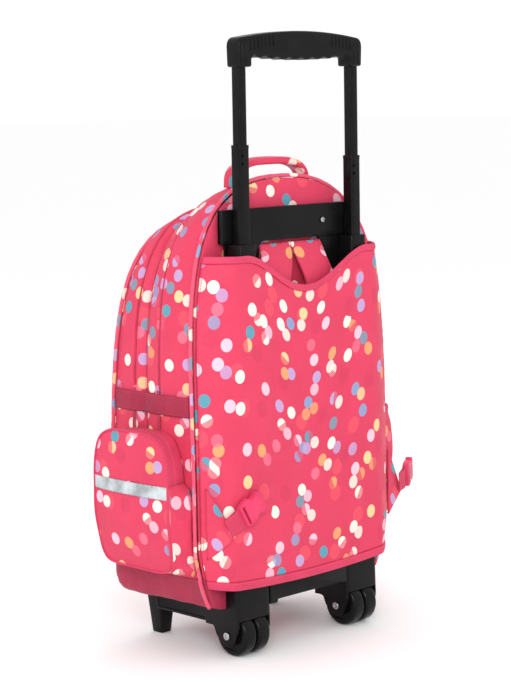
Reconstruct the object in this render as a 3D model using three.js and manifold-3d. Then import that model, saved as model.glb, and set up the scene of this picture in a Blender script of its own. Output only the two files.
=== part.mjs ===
// Wheeled school backpack: a printed cloth bag on a moulded wheel base, with a two-stage pull handle.
// Millimetres, +Z up. The pull handle and its cover face -Y, the bag's front faces +Y, X runs across.
// Everything is placed with z = 0 on the floor and y = 0 over the wheel axles, and centred at the end.
import * as THREE from 'three';
import { mergeVertices } from 'three/addons/utils/BufferGeometryUtils.js';
import Module from 'manifold-3d';

const wasm = await Module();
wasm.setup();

// Fits
const gap = 0.3;
const slideFit = 0.35;

// Cloth and padding
const clothWall = 2;
const baseWall = 2.5;
const panelThickness = 8;
const pipingRadius = 2.3;
const bindingHeight = 8;
const bindingThickness = 2.6;
const webbingThickness = 1.8;

// Bag
const bagHalfWidth = 158;
const bagTop = 546;
const baseSeamZ = 96;
const baseFloorZ = 57.5;
const archSpringZ = 240;
const backFaceY = 1.3;
const backLean = 15.7;
const backLeanStartZ = 160;
const backLeanPower = 2.6;
const mainSeamY = 88;
const frontEdgeY = 152;
const frontEdgeLean = 26;
const frontEdgeLeanPower = 1.2;
const frontBulge = 17;
const creaseGap = 1.2;
const zipWidth = 5;
const zipEndZ = 312;

// Pull handle
const tubeHalfSpan = 92;
const tubeY = -8.2;
const innerTubeSize = 12.5;
const innerTubeWall = 1.2;
const middleTubeWall = 1.2;
const fixedTubeWall = 1;
const innerTubeBottomZ = 300;
const middleTubeLength = 370;
const middleTubeTopLeftZ = 587.2;
const middleTubeTopRightZ = 569.5;
const gripLegBottomZ = 674;
const gripTopZ = 714.5;
const gripHalfWidth = 101.5;
const gripDepth = 21;

// Bracket and collars
const collarTopZ = 475.5;
const collarHeight = 46;
const collarWidth = 25;
const collarFrontY = -19.2;
const collarBackY = 4;
const plateBottomZ = 476;
const plateTopZ = 514.5;
const plateHalfWidth = 114;
const plateFrontY = 1.2;
const plateBackY = 9;
const flangeBottomZ = 434;
const flangeInnerX = 52;
const flangeOuterX = 106;
const flangeThickness = 2.9;

// Wheel base
const wheelRadius = 25;
const wheelWidth = 19;
const wheelSpacing = 22;
const axleRadius = 3;
const housingOuterX = 118.5;
const housingInnerX = 65.5;
const housingRearY = -18.4;
const housingTopZ = 86;
const housingFrontY = 36;
const cheekThickness = 2.5;
const railBottomZ = 34.5;
const railWidth = 24;
const footFrontY = 155;
const footDepth = 26;

// Cover over the tubes
const coverY = -22.6;
const coverSideZ = 464;
const coverScoopZ = 424;
const coverBottomZ = 78;

// Small parts
const bandBottomZ = 283;
const bandHeight = 23;
const stripHeight = 15;
const stripZ = 201;
const webbingWidth = 25;
const strapWidth = 50;
const strapThickness = 9;
const strapTopZ = 472;
const strapBottomZ = 128;
const haulHalfSpan = 58;
const haulMiddleX = -4;
const haulWidth = 24;
const haulThickness = 7;
const haulY = 38;
const haulTopZ = 566;

const innerTubeHole = innerTubeSize - 2 * innerTubeWall;
const middleTubeHole = innerTubeSize + 2 * slideFit;
const middleTubeSize = middleTubeHole + 2 * middleTubeWall;
const fixedTubeHole = middleTubeSize + 2 * slideFit;
const fixedTubeSize = fixedTubeHole + 2 * fixedTubeWall;
const railTopZ = baseFloorZ - gap;
const shellBottomZ = baseSeamZ + gap;

const materials = {
  printedCloth: { color: 0xe2476a, roughness: 0.75 },
  plainPink: { color: 0xe0406c, roughness: 0.7 },
  darkPink: { color: 0xb23a58, roughness: 0.8 },
  pipingPink: { color: 0xf0607f, roughness: 0.6 },
  reflective: { color: 0xb4bcc0, roughness: 0.35, metalness: 0.2 },
  blackPlastic: { color: 0x1b1b1c, roughness: 0.45 },
  blackMetal: { color: 0x161617, roughness: 0.3, metalness: 0.7 },
  wheelBlack: { color: 0x18181a, roughness: 0.35 },
  pinkPlastic: { color: 0xd94472, roughness: 0.45 },
  steel: { color: 0x9a9a9c, roughness: 0.3, metalness: 0.9 },
};

const backpack = new THREE.Group();
backpack.name = 'wheeled_backpack';

function add(name, geometry, look, position = [0, 0, 0]) {
  const mesh = new THREE.Mesh(geometry, new THREE.MeshStandardMaterial(materials[look]));
  mesh.name = name;
  mesh.position.set(...position);
  backpack.add(mesh);
  return mesh;
}

// Turns points and faces into one closed surface that faces outwards.
function closedSurface(points, faces) {
  const indexOf = new Map();
  const positions = [];
  const merged = points.map((point) => {
    const key = [point.x, point.y, point.z].map((value) => value.toFixed(4)).join();
    if (!indexOf.has(key)) {
      indexOf.set(key, positions.length / 3);
      positions.push(point.x, point.y, point.z);
    }
    return indexOf.get(key);
  });
  const kept = faces
    .map((face) => face.map((corner) => merged[corner]))
    .filter(([a, b, c]) => a !== b && b !== c && c !== a);
  const at = (corner) => new THREE.Vector3().fromArray(positions, corner * 3);
  const volume = kept.reduce((sum, [a, b, c]) => sum + at(a).dot(at(b).cross(at(c))), 0);
  if (volume < 0) kept.forEach((face) => face.reverse());
  const geometry = new THREE.BufferGeometry();
  geometry.setAttribute('position', new THREE.Float32BufferAttribute(positions, 3));
  geometry.setIndex(kept.flat());
  return geometry;
}

// A wall between two grids of points; its columns close on themselves when wraps is true.
function wallBetween(outer, inner, wraps = false) {
  const rows = outer.length;
  const columns = outer[0].length;
  const back = rows * columns;
  const faces = [];
  const quad = (a, b, c, d) => faces.push([a, b, c], [a, c, d]);
  const lastColumn = wraps ? columns : columns - 1;
  for (let column = 0; column < lastColumn; column++) {
    const next = (column + 1) % columns;
    for (let row = 0; row < rows - 1; row++) {
      const here = row * columns;
      const above = here + columns;
      quad(here + column, here + next, above + next, above + column);
      quad(back + here + column, back + above + column, back + above + next, back + here + next);
    }
    const top = (rows - 1) * columns;
    quad(column, back + column, back + next, next);
    quad(top + column, top + next, back + top + next, back + top + column);
  }
  if (!wraps) {
    for (let row = 0; row < rows - 1; row++) {
      const here = row * columns;
      const above = here + columns;
      const end = columns - 1;
      quad(here, above, back + above, back + here);
      quad(here + end, back + here + end, back + above + end, above + end);
    }
  }
  return closedSurface([...outer.flat(), ...inner.flat()], faces);
}

// A solid through closed loops of equal length, with a fan over each end.
function loft(loops) {
  const columns = loops[0].length;
  const points = loops.flat();
  const faces = [];
  for (let row = 0; row < loops.length - 1; row++) {
    for (let column = 0; column < columns; column++) {
      const next = (column + 1) % columns;
      const here = row * columns;
      const above = here + columns;
      faces.push([here + column, here + next, above + next], [here + column, above + next, above + column]);
    }
  }
  const middle = (loop) => loop.reduce((sum, point) => sum.add(point), new THREE.Vector3()).divideScalar(columns);
  points.push(middle(loops[0]), middle(loops.at(-1)));
  const last = (loops.length - 1) * columns;
  for (let column = 0; column < columns; column++) {
    const next = (column + 1) % columns;
    faces.push([next, column, points.length - 2], [last + column, last + next, points.length - 1]);
  }
  return closedSurface(points, faces);
}

function bareGeometry(geometry) {
  const bare = geometry.clone();
  bare.deleteAttribute('normal');
  bare.deleteAttribute('uv');
  return mergeVertices(bare, 1e-4);
}

function toManifold(geometry) {
  const bare = bareGeometry(geometry);
  return new wasm.Manifold(new wasm.Mesh({
    numProp: 3,
    vertProperties: Float32Array.from(bare.attributes.position.array),
    triVerts: Uint32Array.from(bare.index.array),
  }));
}

function fromManifold(manifold) {
  const mesh = manifold.getMesh();
  const geometry = new THREE.BufferGeometry();
  geometry.setAttribute('position', new THREE.BufferAttribute(mesh.vertProperties, 3));
  geometry.setIndex(new THREE.BufferAttribute(mesh.triVerts, 1));
  return geometry;
}

function cut(base, ...tools) {
  return fromManifold(tools.reduce((solid, tool) => solid.subtract(toManifold(tool)), toManifold(base)));
}

function join(base, ...others) {
  return fromManifold(others.reduce((solid, other) => solid.add(toManifold(other)), toManifold(base)));
}

function roundedRectangle(width, height, radius, kind = THREE.Shape) {
  const x = width / 2;
  const y = height / 2;
  const shape = new kind();
  shape.moveTo(-x + radius, -y);
  shape.lineTo(x - radius, -y);
  shape.absarc(x - radius, -y + radius, radius, -Math.PI / 2, 0);
  shape.lineTo(x, y - radius);
  shape.absarc(x - radius, y - radius, radius, 0, Math.PI / 2);
  shape.lineTo(-x + radius, y);
  shape.absarc(-x + radius, y - radius, radius, Math.PI / 2, Math.PI);
  shape.lineTo(-x, -y + radius);
  shape.absarc(-x + radius, -y + radius, radius, Math.PI, 1.5 * Math.PI);
  return shape;
}

function upright(shape, bottom, top, curveSegments = 3) {
  return new THREE.ExtrudeGeometry(shape, { depth: top - bottom, bevelEnabled: false, curveSegments })
    .translate(0, 0, bottom);
}

// A profile drawn in y and z, run across x.
function across(shape, fromX, toX, curveSegments = 6) {
  return new THREE.ExtrudeGeometry(shape, { depth: toX - fromX, bevelEnabled: false, curveSegments })
    .rotateX(Math.PI / 2)
    .rotateZ(Math.PI / 2)
    .translate(fromX, 0, 0);
}

function box(low, high) {
  const size = high.map((value, axis) => value - low[axis]);
  const centre = high.map((value, axis) => (value + low[axis]) / 2);
  return new THREE.BoxGeometry(...size).translate(...centre);
}

function interpolate(rows, key, at, value) {
  const after = rows.findIndex((row) => row[key] >= at);
  if (after === 0) return rows[0][value];
  if (after < 0) return rows.at(-1)[value];
  const [low, high] = [rows[after - 1], rows[after]];
  return THREE.MathUtils.mapLinear(at, low[key], high[key], low[value], high[value]);
}

// The bag's outline narrows to the floor below and closes in a flat arch above.
const lowerOutline = [
  { z: baseFloorZ, width: 0.8, length: 0.88, flare: 4 },
  { z: 61, width: 0.862, length: 0.95, flare: 10 },
  { z: 69, width: 0.892, length: 0.985, flare: 13 },
  { z: 82, width: 0.925, length: 1, flare: 10 },
  { z: baseSeamZ, width: 0.955, length: 1, flare: 6 },
  { z: 125, width: 1, length: 1, flare: 0 },
];
const archUpPower = 4;
const backArchPower = 2.5;

// Width, top and shoulder fullness of the bag from its back edge (0) to its middle seam,
// and on from there to its front edge (1).
const mainSections = [
  { depth: 0, width: 0.996, top: 1, power: backArchPower },
  { depth: 0.3, width: 1.018, top: 0.995, power: 2.65 },
  { depth: 0.62, width: 1.024, top: 0.978, power: 2.65 },
  { depth: 0.9, width: 1.004, top: 0.955, power: 2.65 },
  { depth: 1, width: 0.978, top: 0.944, power: 2.6 },
];
const frontSections = [
  { depth: 0, width: 0.968, top: 0.938, power: 2.6 },
  { depth: 0.14, width: 0.998, top: 0.944, power: 2.8 },
  { depth: 0.4, width: 1.012, top: 0.942, power: 2.95 },
  { depth: 0.75, width: 1.008, top: 0.93, power: 3 },
  { depth: 1, width: 0.988, top: 0.912, power: 2.95 },
];

function archShare(z, top, power) {
  const up = THREE.MathUtils.clamp((z - archSpringZ) / (top - archSpringZ), 0, 1);
  return (1 - up ** archUpPower) ** (1 / power);
}
const backY = (z) => backFaceY
  + backLean * Math.max(0, (z - backLeanStartZ) / (bagTop - backLeanStartZ)) ** backLeanPower;
const frontY = (z) => frontEdgeY
  - frontEdgeLean * Math.max(0, (z - baseSeamZ) / (bagTop * 0.9 - baseSeamZ)) ** frontEdgeLeanPower;

// Points up the left of an arch, from its foot to its top: x is a share of the half width.
const archSteps = 10;
function archRise(footZ, top, power = backArchPower) {
  const bends = [...lowerOutline.map((row) => row.z), archSpringZ];
  const feet = [footZ, ...bends.filter((z) => z > footZ + 1)]
    .map((z) => ({ share: interpolate(lowerOutline, 'z', z, 'width'), z }));
  const arch = Array.from({ length: archSteps }, (_, index) => {
    const angle = (index + 1) / archSteps * Math.PI / 2;
    return {
      share: index + 1 === archSteps ? 0 : Math.cos(angle) ** (2 / power),
      z: archSpringZ + (top - archSpringZ) * Math.sin(angle) ** (2 / archUpPower),
    };
  });
  return [...feet, ...arch];
}

// A cloth band that runs up one side of the bag, over its top and down the other.
function archBand(sections, yAt, footZ, inset, depths = sections.map((row) => row.depth)) {
  return depths.map((depth) => {
    const halfWidth = bagHalfWidth * interpolate(sections, 'depth', depth, 'width') - inset;
    const top = bagTop * interpolate(sections, 'depth', depth, 'top') - inset;
    const rise = archRise(footZ, top, interpolate(sections, 'depth', depth, 'power'));
    const left = rise.map(({ share, z }) => new THREE.Vector3(-share * halfWidth, yAt(depth, z), z));
    const right = left.slice(0, -1).reverse().map((point) => new THREE.Vector3(-point.x, point.y, point.z));
    return [...left, ...right];
  });
}

const mainY = (depth, z) => {
  const rear = backY(z) + panelThickness + gap;
  return rear + (mainSeamY - rear) * depth;
};
const frontCompartmentY = (depth, z) => mainSeamY + creaseGap + (frontY(z) - mainSeamY - creaseGap) * depth;

// Half width of the bag's side wall at a height, for what is sewn on it.
function sideX(y, z) {
  const share = interpolate(lowerOutline, 'z', z, 'width');
  if (y <= mainSeamY) {
    const rear = backY(z) + panelThickness;
    return bagHalfWidth * share * interpolate(mainSections, 'depth', (y - rear) / (mainSeamY - rear), 'width');
  }
  const depth = (y - mainSeamY) / (frontY(z) - mainSeamY);
  return bagHalfWidth * share * interpolate(frontSections, 'depth', depth, 'width');
}

// The bag's whole outside, grown by an offset, for fitting what is sewn on it.
function bagVolume(offset) {
  const rings = [
    ...archBand(mainSections, mainY, shellBottomZ - offset, -offset),
    ...archBand(frontSections, frontCompartmentY, shellBottomZ - offset, -offset),
  ];
  rings[0] = rings[0].map((point) => new THREE.Vector3(point.x, point.y - panelThickness - offset, point.z));
  rings.push(rings.at(-1).map((point) => new THREE.Vector3(point.x, point.y + clothWall + offset, point.z)));
  return loft(rings);
}

// A sheet that fills the arch between its foot and its top.
function archSheet(arch, yAt, thickness, columns = 6) {
  const { halfWidth, top, power } = arch;
  const grid = (offset) => archRise(shellBottomZ, top, power).map(({ share, z }) =>
    Array.from({ length: columns + 1 }, (_, index) => {
      const u = 2 * index / columns - 1;
      return new THREE.Vector3(u * share * halfWidth, yAt(u, z) + offset, z);
    }));
  return wallBetween(grid(0), grid(thickness));
}

function gusset(sections, yAt, footZ, zipFrom, zipTo) {
  const band = wallBetween(archBand(sections, yAt, footZ, 0), archBand(sections, yAt, footZ, clothWall));
  const slot = wallBetween(
    archBand(sections, yAt, zipEndZ, -clothWall, [zipFrom, zipTo]),
    archBand(sections, yAt, zipEndZ, 2 * clothWall, [zipFrom, zipTo]),
  );
  return cut(band, slot);
}

function zipTape(sections, yAt, zipFrom, zipTo, clear) {
  const depths = [zipFrom + clear, zipTo - clear];
  return wallBetween(
    archBand(sections, yAt, zipEndZ + gap, clothWall * 0.2, depths),
    archBand(sections, yAt, zipEndZ + gap, clothWall, depths),
  );
}

function pipingAlong(points, steps) {
  const curve = new THREE.CatmullRomCurve3(points);
  const section = new THREE.Shape().absarc(0, 0, pipingRadius, 0, 2 * Math.PI);
  return new THREE.ExtrudeGeometry(section, { extrudePath: curve, steps, curveSegments: 3, bevelEnabled: false });
}

// Bag: back panel, two gussets with a zip each, front panel, divider and base tray.
const leanAt = (u, z) => backY(z);
const backArch = { halfWidth: bagHalfWidth - 1, top: bagTop, power: backArchPower };
add('back_panel', archSheet(backArch, leanAt, panelThickness), 'printedCloth');

const zipShare = zipWidth / (mainSeamY - panelThickness);
const mainZip = [0.6, 0.6 + zipShare];
const frontZip = [0.26, 0.26 + zipShare * 1.35];
const zipClear = zipShare * 0.08;
add('main_gusset', gusset(mainSections, mainY, shellBottomZ, ...mainZip), 'printedCloth');
add('main_zip', zipTape(mainSections, mainY, ...mainZip, zipClear), 'plainPink');
add('front_gusset', gusset(frontSections, frontCompartmentY, shellBottomZ, ...frontZip), 'printedCloth');
add('front_zip', zipTape(frontSections, frontCompartmentY, ...frontZip, zipClear), 'plainPink');

const seam = mainSections.at(-1);
const seamArch = {
  halfWidth: bagHalfWidth * seam.width - clothWall - gap,
  top: bagTop * seam.top - clothWall - gap,
  power: seam.power,
};
add('divider', archSheet(seamArch, () => mainSeamY - clothWall, clothWall, 2), 'plainPink');

const frontEdge = frontSections.at(-1);
const frontHalfWidth = bagHalfWidth * frontEdge.width;
const frontTop = bagTop * frontEdge.top;
const bulgeAt = (u, z) => {
  const up = THREE.MathUtils.clamp((z - baseSeamZ) / (frontTop - baseSeamZ), 0, 1);
  const profile = (0.45 + 0.55 * Math.sin(Math.PI * Math.min(1, up * 1.1))) * (1 - up ** 8);
  return frontBulge * (1 - Math.abs(u) ** 2.4) * profile;
};
const frontPanelY = (u, z) => frontY(z) + gap + bulgeAt(u, z);
const frontArch = { halfWidth: frontHalfWidth, top: frontTop, power: frontEdge.power };
add('front_panel', archSheet(frontArch, frontPanelY, clothWall), 'printedCloth');

// The tray's plan is a rounded rectangle that shrinks to the floor.
const trayRows = lowerOutline.filter((row) => row.z <= baseSeamZ).reverse();
trayRows.push({ z: baseFloorZ, width: 0, length: 0, flare: 0 });
const trayFrontY = 162;
const trayCornerRadius = 21;
function planLoop(halfWidth, flare, rear, front, rearRadius, frontRadius, z) {
  const corner = (x, y, radius, start, steps) => Array.from({ length: steps + 1 }, (_, index) => {
    const angle = start + index / steps * Math.PI / 2;
    return new THREE.Vector3(x + radius * Math.cos(angle), y + radius * Math.sin(angle), z);
  });
  return [
    ...corner(halfWidth + flare - frontRadius, front - frontRadius, frontRadius, 0, 4),
    ...corner(frontRadius - halfWidth - flare, front - frontRadius, frontRadius, Math.PI / 2, 4),
    ...corner(rearRadius - halfWidth, rear + rearRadius, rearRadius, Math.PI, 2),
    ...corner(halfWidth - rearRadius, rear + rearRadius, rearRadius, 1.5 * Math.PI, 2),
  ];
}
function trayLoops(inset) {
  return trayRows.map(({ z, width, length, flare }, index) => {
    const halfWidth = Math.max(0, bagHalfWidth * width - inset);
    const middleY = trayFrontY / 2;
    const front = width === 0 ? middleY : middleY + (trayFrontY - middleY) * length - inset;
    const rear = width === 0 ? middleY : backFaceY + inset;
    const lift = index === 0 ? 0 : inset;
    const radius = width === 0 ? 0 : 1;
    return planLoop(halfWidth, flare, rear, front, 5 * radius, trayCornerRadius * radius, z + lift);
  });
}
add('base_tray', wallBetween(trayLoops(0), trayLoops(baseWall), true), 'darkPink');

// Piping round the back and front edges
function edgePiping(arch, footZ, yAt) {
  const { halfWidth, top, power } = arch;
  const rise = archRise(footZ, top + gap + pipingRadius, power).map(({ share, z }) => {
    const clear = pipingRadius + (z < baseSeamZ ? 6 : 2) * gap;
    return new THREE.Vector3(-share * halfWidth - (z > archSpringZ ? share : 1) * clear, yAt(z), z);
  });
  const right = rise.slice(0, -1).reverse().map((point) => new THREE.Vector3(-point.x, point.y, point.z));
  return pipingAlong([...rise, ...right], 44);
}
const backPipingY = (z) => backY(z) + panelThickness / 2;
const backEdge = { ...backArch, halfWidth: bagHalfWidth };
add('back_piping', edgePiping(backEdge, baseFloorZ + 4, backPipingY), 'pipingPink');
const frontPipingY = (z) => frontY(z) + clothWall;
add('front_piping', edgePiping(frontArch, shellBottomZ + 2, frontPipingY), 'pipingPink');

// Plain bands across both sides, drawn tight over both compartments
function sideBand(side) {
  const [low, high] = [bandBottomZ, bandBottomZ + bandHeight];
  const level = (low + high) / 2;
  const edges = [
    ...mainSections.slice(0, -1).map((row) => mainY(row.depth, level)),
    ...frontSections.slice(1).map((row) => frontCompartmentY(Math.min(row.depth, 0.96), level)),
  ];
  const grid = (offset) => [low, high].map((z) => edges.map((y) =>
    new THREE.Vector3(side * (sideX(y, level) + offset), y, z)));
  return cut(wallBetween(grid(gap + webbingThickness), grid(gap - webbingThickness)), bagVolume(gap));
}
add('side_band_left', sideBand(-1), 'darkPink');
add('side_band_right', sideBand(1), 'darkPink');

// Zipped pocket on the left side. Shares are of the pocket's half length and height, up its rear half.
const pocketMiddleY = 77;
const pocketHalfLength = 63;
const pocketBottomZ = 98;
const pocketHeight = 168;
const pocketDepth = 31;
const pocketCrown = 5;
const pocketRim = [
  { faceAcross: 0, faceUp: 0.045, baseAcross: 0, baseUp: 0, depth: 0.72 },
  { faceAcross: 0.68, faceUp: 0.05, baseAcross: 0.72, baseUp: 0, depth: 0.72 },
  { faceAcross: 0.89, faceUp: 0.1, baseAcross: 1.04, baseUp: 0.02, depth: 0.78 },
  { faceAcross: 0.97, faceUp: 0.22, baseAcross: 1.08, baseUp: 0.16, depth: 0.86 },
  { faceAcross: 1, faceUp: 0.4, baseAcross: 1.08, baseUp: 0.36, depth: 1 },
  { faceAcross: 1, faceUp: 0.58, baseAcross: 1.06, baseUp: 0.58, depth: 1 },
  { faceAcross: 1, faceUp: 0.66, baseAcross: 0.88, baseUp: 0.66, depth: 1 },
  { faceAcross: 0.98, faceUp: 0.76, baseAcross: 0.84, baseUp: 0.76, depth: 1 },
  { faceAcross: 0.91, faceUp: 0.87, baseAcross: 0.76, baseUp: 0.86, depth: 1 },
  { faceAcross: 0.78, faceUp: 0.945, baseAcross: 0.62, baseUp: 0.94, depth: 1 },
  { faceAcross: 0.5, faceUp: 0.99, baseAcross: 0.38, baseUp: 0.975, depth: 1 },
  { faceAcross: 0, faceUp: 1, baseAcross: 0, baseUp: 0.98, depth: 1 },
];
const pocketSideX = bagHalfWidth * Math.max(...mainSections.map((row) => row.width));
const mirrorPocket = (point) => new THREE.Vector3(point.x, 2 * pocketMiddleY - point.y, point.z);
function pocketBaseLoop(inset) {
  const rear = pocketRim.map(({ baseAcross, baseUp }) => new THREE.Vector3(
    -bagHalfWidth * 0.9,
    pocketMiddleY - Math.max(0, baseAcross * pocketHalfLength - inset),
    pocketBottomZ + baseUp * pocketHeight + (baseUp > 0.5 ? -inset : inset),
  ));
  return [...rear, ...rear.slice(1, -1).reverse().map(mirrorPocket)];
}
function pocketFaceLoop(inset, shrink, crown) {
  const rear = pocketRim.map((row) => new THREE.Vector3(
    -pocketSideX - THREE.MathUtils.lerp(1, row.depth, shrink) * pocketDepth - crown * pocketCrown + inset,
    pocketMiddleY - Math.max(0, row.faceAcross * shrink * pocketHalfLength - inset),
    pocketBottomZ + (0.52 + (row.faceUp - 0.52) * shrink) * pocketHeight
      - inset * Math.sign(row.faceUp - 0.52) * shrink,
  ));
  return [...rear, ...rear.slice(1, -1).reverse().map(mirrorPocket)];
}
const pocketLoops = (inset) => [
  pocketBaseLoop(inset), pocketFaceLoop(inset, 1, 0), pocketFaceLoop(inset, 0.85, 0.35),
  pocketFaceLoop(inset, 0.5, 0.8), pocketFaceLoop(inset, 0, 1),
];
const pocketVolume = (offset) => loft(pocketLoops(-offset));
const pocketShell = wallBetween(pocketLoops(0), pocketLoops(clothWall), true);
add('side_pocket_left', cut(pocketShell, bagVolume(gap)), 'printedCloth');

// The plain band that holds the pocket's zip runs over its upper half.
function pocketZipBand(thickness) {
  const rows = pocketRim.filter((row) => row.baseUp > 0.65);
  const edge = (share, away) => {
    const rear = rows.map((row) => {
      const across = THREE.MathUtils.lerp(row.baseAcross, row.faceAcross, share) * pocketHalfLength;
      const up = THREE.MathUtils.lerp(row.baseUp, row.faceUp, share) * pocketHeight;
      const x = THREE.MathUtils.lerp(bagHalfWidth * 0.95, pocketSideX + pocketDepth * 0.95, share);
      const steep = Math.min(1, row.faceAcross ** 3);
      return new THREE.Vector3(-x, pocketMiddleY - across - away * steep,
        pocketBottomZ + up + away * (1 - steep));
    });
    return [...rear, ...rear.slice(0, -1).reverse().map(mirrorPocket)];
  };
  const band = wallBetween(
    [edge(0, gap + thickness), edge(1, gap + thickness)],
    [edge(0, -thickness), edge(1, -thickness)],
  );
  return cut(band, bagVolume(gap), pocketVolume(gap));
}
add('pocket_zip_band_left', pocketZipBand(1.5), 'plainPink');

function skin(volumeAt, thickness, low, high) {
  const outer = toManifold(volumeAt(gap + thickness));
  return fromManifold(outer.intersect(toManifold(box(low, high))).subtract(toManifold(volumeAt(gap))));
}
const stripReach = pocketHalfLength * 0.95;
add('reflective_strip_left', skin(pocketVolume, 0.8,
  [-bagHalfWidth * 2, pocketMiddleY - stripReach, stripZ - stripHeight / 2],
  [-pocketSideX - pocketDepth * 0.9, pocketMiddleY + stripReach, stripZ + stripHeight / 2]), 'reflective');

// Open bottle pocket on the right side, gathered by an elastic hem
const bottlePocketRows = [
  { z: 98, bulge: 0.3 },
  { z: 120, bulge: 0.62 },
  { z: 150, bulge: 0.8 },
  { z: 180, bulge: 0.92 },
  { z: 206, bulge: 1 },
  { z: 230, bulge: 0.9 },
  { z: 247, bulge: 0.74 },
];
const bottlePocketBulge = 40;
const bottlePocketRearY = 9;
const bottlePocketFrontY = 141;
const bottleHemHeight = 9;
function bottlePocketPoint(u, z, bulge, offset) {
  const y = THREE.MathUtils.lerp(bottlePocketRearY, bottlePocketFrontY, (u + 1) / 2);
  const out = bottlePocketBulge * bulge * (1 - Math.abs(u) ** 11);
  return new THREE.Vector3(sideX(y, z) - clothWall + out + offset, y, z);
}
const bottleColumns = [-1, -0.96, -0.88, -0.72, 0, 0.72, 0.88, 0.96, 1];
const bottleGrid = (offset) => bottlePocketRows.map(({ z, bulge }) =>
  bottleColumns.map((u) => bottlePocketPoint(u, z, bulge, offset)));
const bottleWall = wallBetween(bottleGrid(clothWall), bottleGrid(0));
add('bottle_pocket_right', cut(bottleWall, bagVolume(gap)), 'printedCloth');
const hemZ = bottlePocketRows.at(-1).z + gap;
const hemGrid = (offset) => [hemZ, hemZ + bottleHemHeight].map((z) =>
  bottleColumns.map((u) => bottlePocketPoint(u, z, bottlePocketRows.at(-1).bulge - (z - hemZ) * 0.015, offset)));
add('bottle_pocket_hem', cut(wallBetween(hemGrid(clothWall), hemGrid(0)), bagVolume(gap)), 'plainPink');

// Cover over the handle tubes: piping to piping, tight over both tubes, with a scooped top edge
const coverShoulderShare = 0.76;
const coverShoulderX = (z) => THREE.MathUtils.lerp(
  housingOuterX + 2.5, tubeHalfSpan + collarWidth / 2 + 4, THREE.MathUtils.smoothstep(z, 95, 220));
const coverColumns = [-1, -0.93, -0.85, -0.76, -0.6, -0.42, -0.2, 0, 0.2, 0.42, 0.6, 0.76, 0.85, 0.93, 1];
const coverHalfWidth = bagHalfWidth - 1;
const coverSag = 2.2;
const coverEdgeX = (z) => coverHalfWidth * interpolate(lowerOutline, 'z', z, 'width')
  * archShare(z, bagTop, backArchPower);
function coverX(share, z) {
  const beyond = (Math.abs(share) - coverShoulderShare) / (1 - coverShoulderShare);
  const shoulder = coverShoulderX(z);
  const x = beyond > 0 ? shoulder + beyond * (coverEdgeX(z) - shoulder)
    : Math.abs(share) / coverShoulderShare * shoulder;
  return Math.sign(share) * x;
}
function coverSurfaceY(x, z) {
  const rear = backY(z) - clothWall - gap;
  const [edge, shoulder] = [coverEdgeX(z), coverShoulderX(z)];
  const away = THREE.MathUtils.clamp((edge - Math.abs(x)) / (edge - shoulder), 0, 1);
  const low = THREE.MathUtils.clamp((z - coverBottomZ - bindingHeight) / 120, 0, 1);
  const sag = coverSag * low * Math.cos(Math.min(1, Math.abs(x) / (tubeHalfSpan - collarWidth / 2)) * Math.PI / 2);
  return rear + (coverY + sag - rear) * Math.sin(away * Math.PI / 2) ** 0.92;
}
function coverTopZ(share) {
  const away = Math.min(1, Math.abs(coverX(share, coverSideZ)) / 100);
  return coverScoopZ + (coverSideZ - coverScoopZ) * (away * away * (3 - 2 * away)) ** 1.15;
}
const coverFootZ = (share) => coverBottomZ + 8 * share ** 2;
function coverSheet(zAt, rows, offset, thickness) {
  const grid = (push) => Array.from({ length: rows + 1 }, (_, row) => coverColumns.map((share) => {
    const z = zAt(share, row / rows);
    const x = coverX(share, z);
    return new THREE.Vector3(x, coverSurfaceY(x, z) - push, z);
  }));
  return wallBetween(grid(offset), grid(offset - thickness));
}
const coverZ = (share, up) => {
  const low = coverFootZ(share) + bindingHeight + 2 + gap;
  return low + (coverTopZ(share) - bindingHeight - gap - low) * up;
};
add('trolley_cover', coverSheet(coverZ, 6, 0, clothWall), 'printedCloth');
const topBindingZ = (share, up) => coverTopZ(share) - bindingHeight * (1 - up);
const bottomBindingZ = (share, up) => coverFootZ(share) + (bindingHeight + 2) * up;
add('cover_top_binding', coverSheet(topBindingZ, 1, gap, bindingThickness), 'plainPink');
add('cover_bottom_binding', coverSheet(bottomBindingZ, 1, gap, bindingThickness), 'plainPink');

// Shoulder straps: they leave the panel under the bracket and lie between the tubes, behind the cover.
const strapRows = [
  { along: 0, middleX: 0.5, width: 1, frontY: 0 },
  { along: 0.05, middleX: 0.56, width: 1, frontY: 0.5 },
  { along: 0.12, middleX: 0.72, width: 1, frontY: 1 },
  { along: 0.3, middleX: 0.88, width: 1, frontY: 1 },
  { along: 0.7, middleX: 0.88, width: 1, frontY: 1 },
  { along: 1, middleX: 0.8, width: 0.9, frontY: 1 },
];
const strapFrontY = -9.5;
function shoulderStrap(side) {
  return loft(strapRows.map(({ along, middleX, width, frontY: forward }) => {
    const z = strapTopZ - along * (strapTopZ - strapBottomZ);
    const x = side * (strapWidth * middleX + gap);
    const half = strapWidth * width / 2;
    const rest = backY(z) - gap - strapThickness * 0.8;
    const front = THREE.MathUtils.lerp(rest, Math.min(rest, strapFrontY), forward);
    const rear = front + strapThickness * 0.8;
    const edge = strapThickness * 0.25;
    return [
      [-half, front + edge], [-half + edge, front], [half - edge, front], [half, front + edge],
      [half, rear - edge], [half - edge, rear], [-half + edge, rear], [-half, rear - edge],
    ].map(([dx, y]) => new THREE.Vector3(x + dx, y, z));
  }));
}
add('shoulder_strap_left', shoulderStrap(-1), 'printedCloth');
add('shoulder_strap_right', shoulderStrap(1), 'printedCloth');

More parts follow.
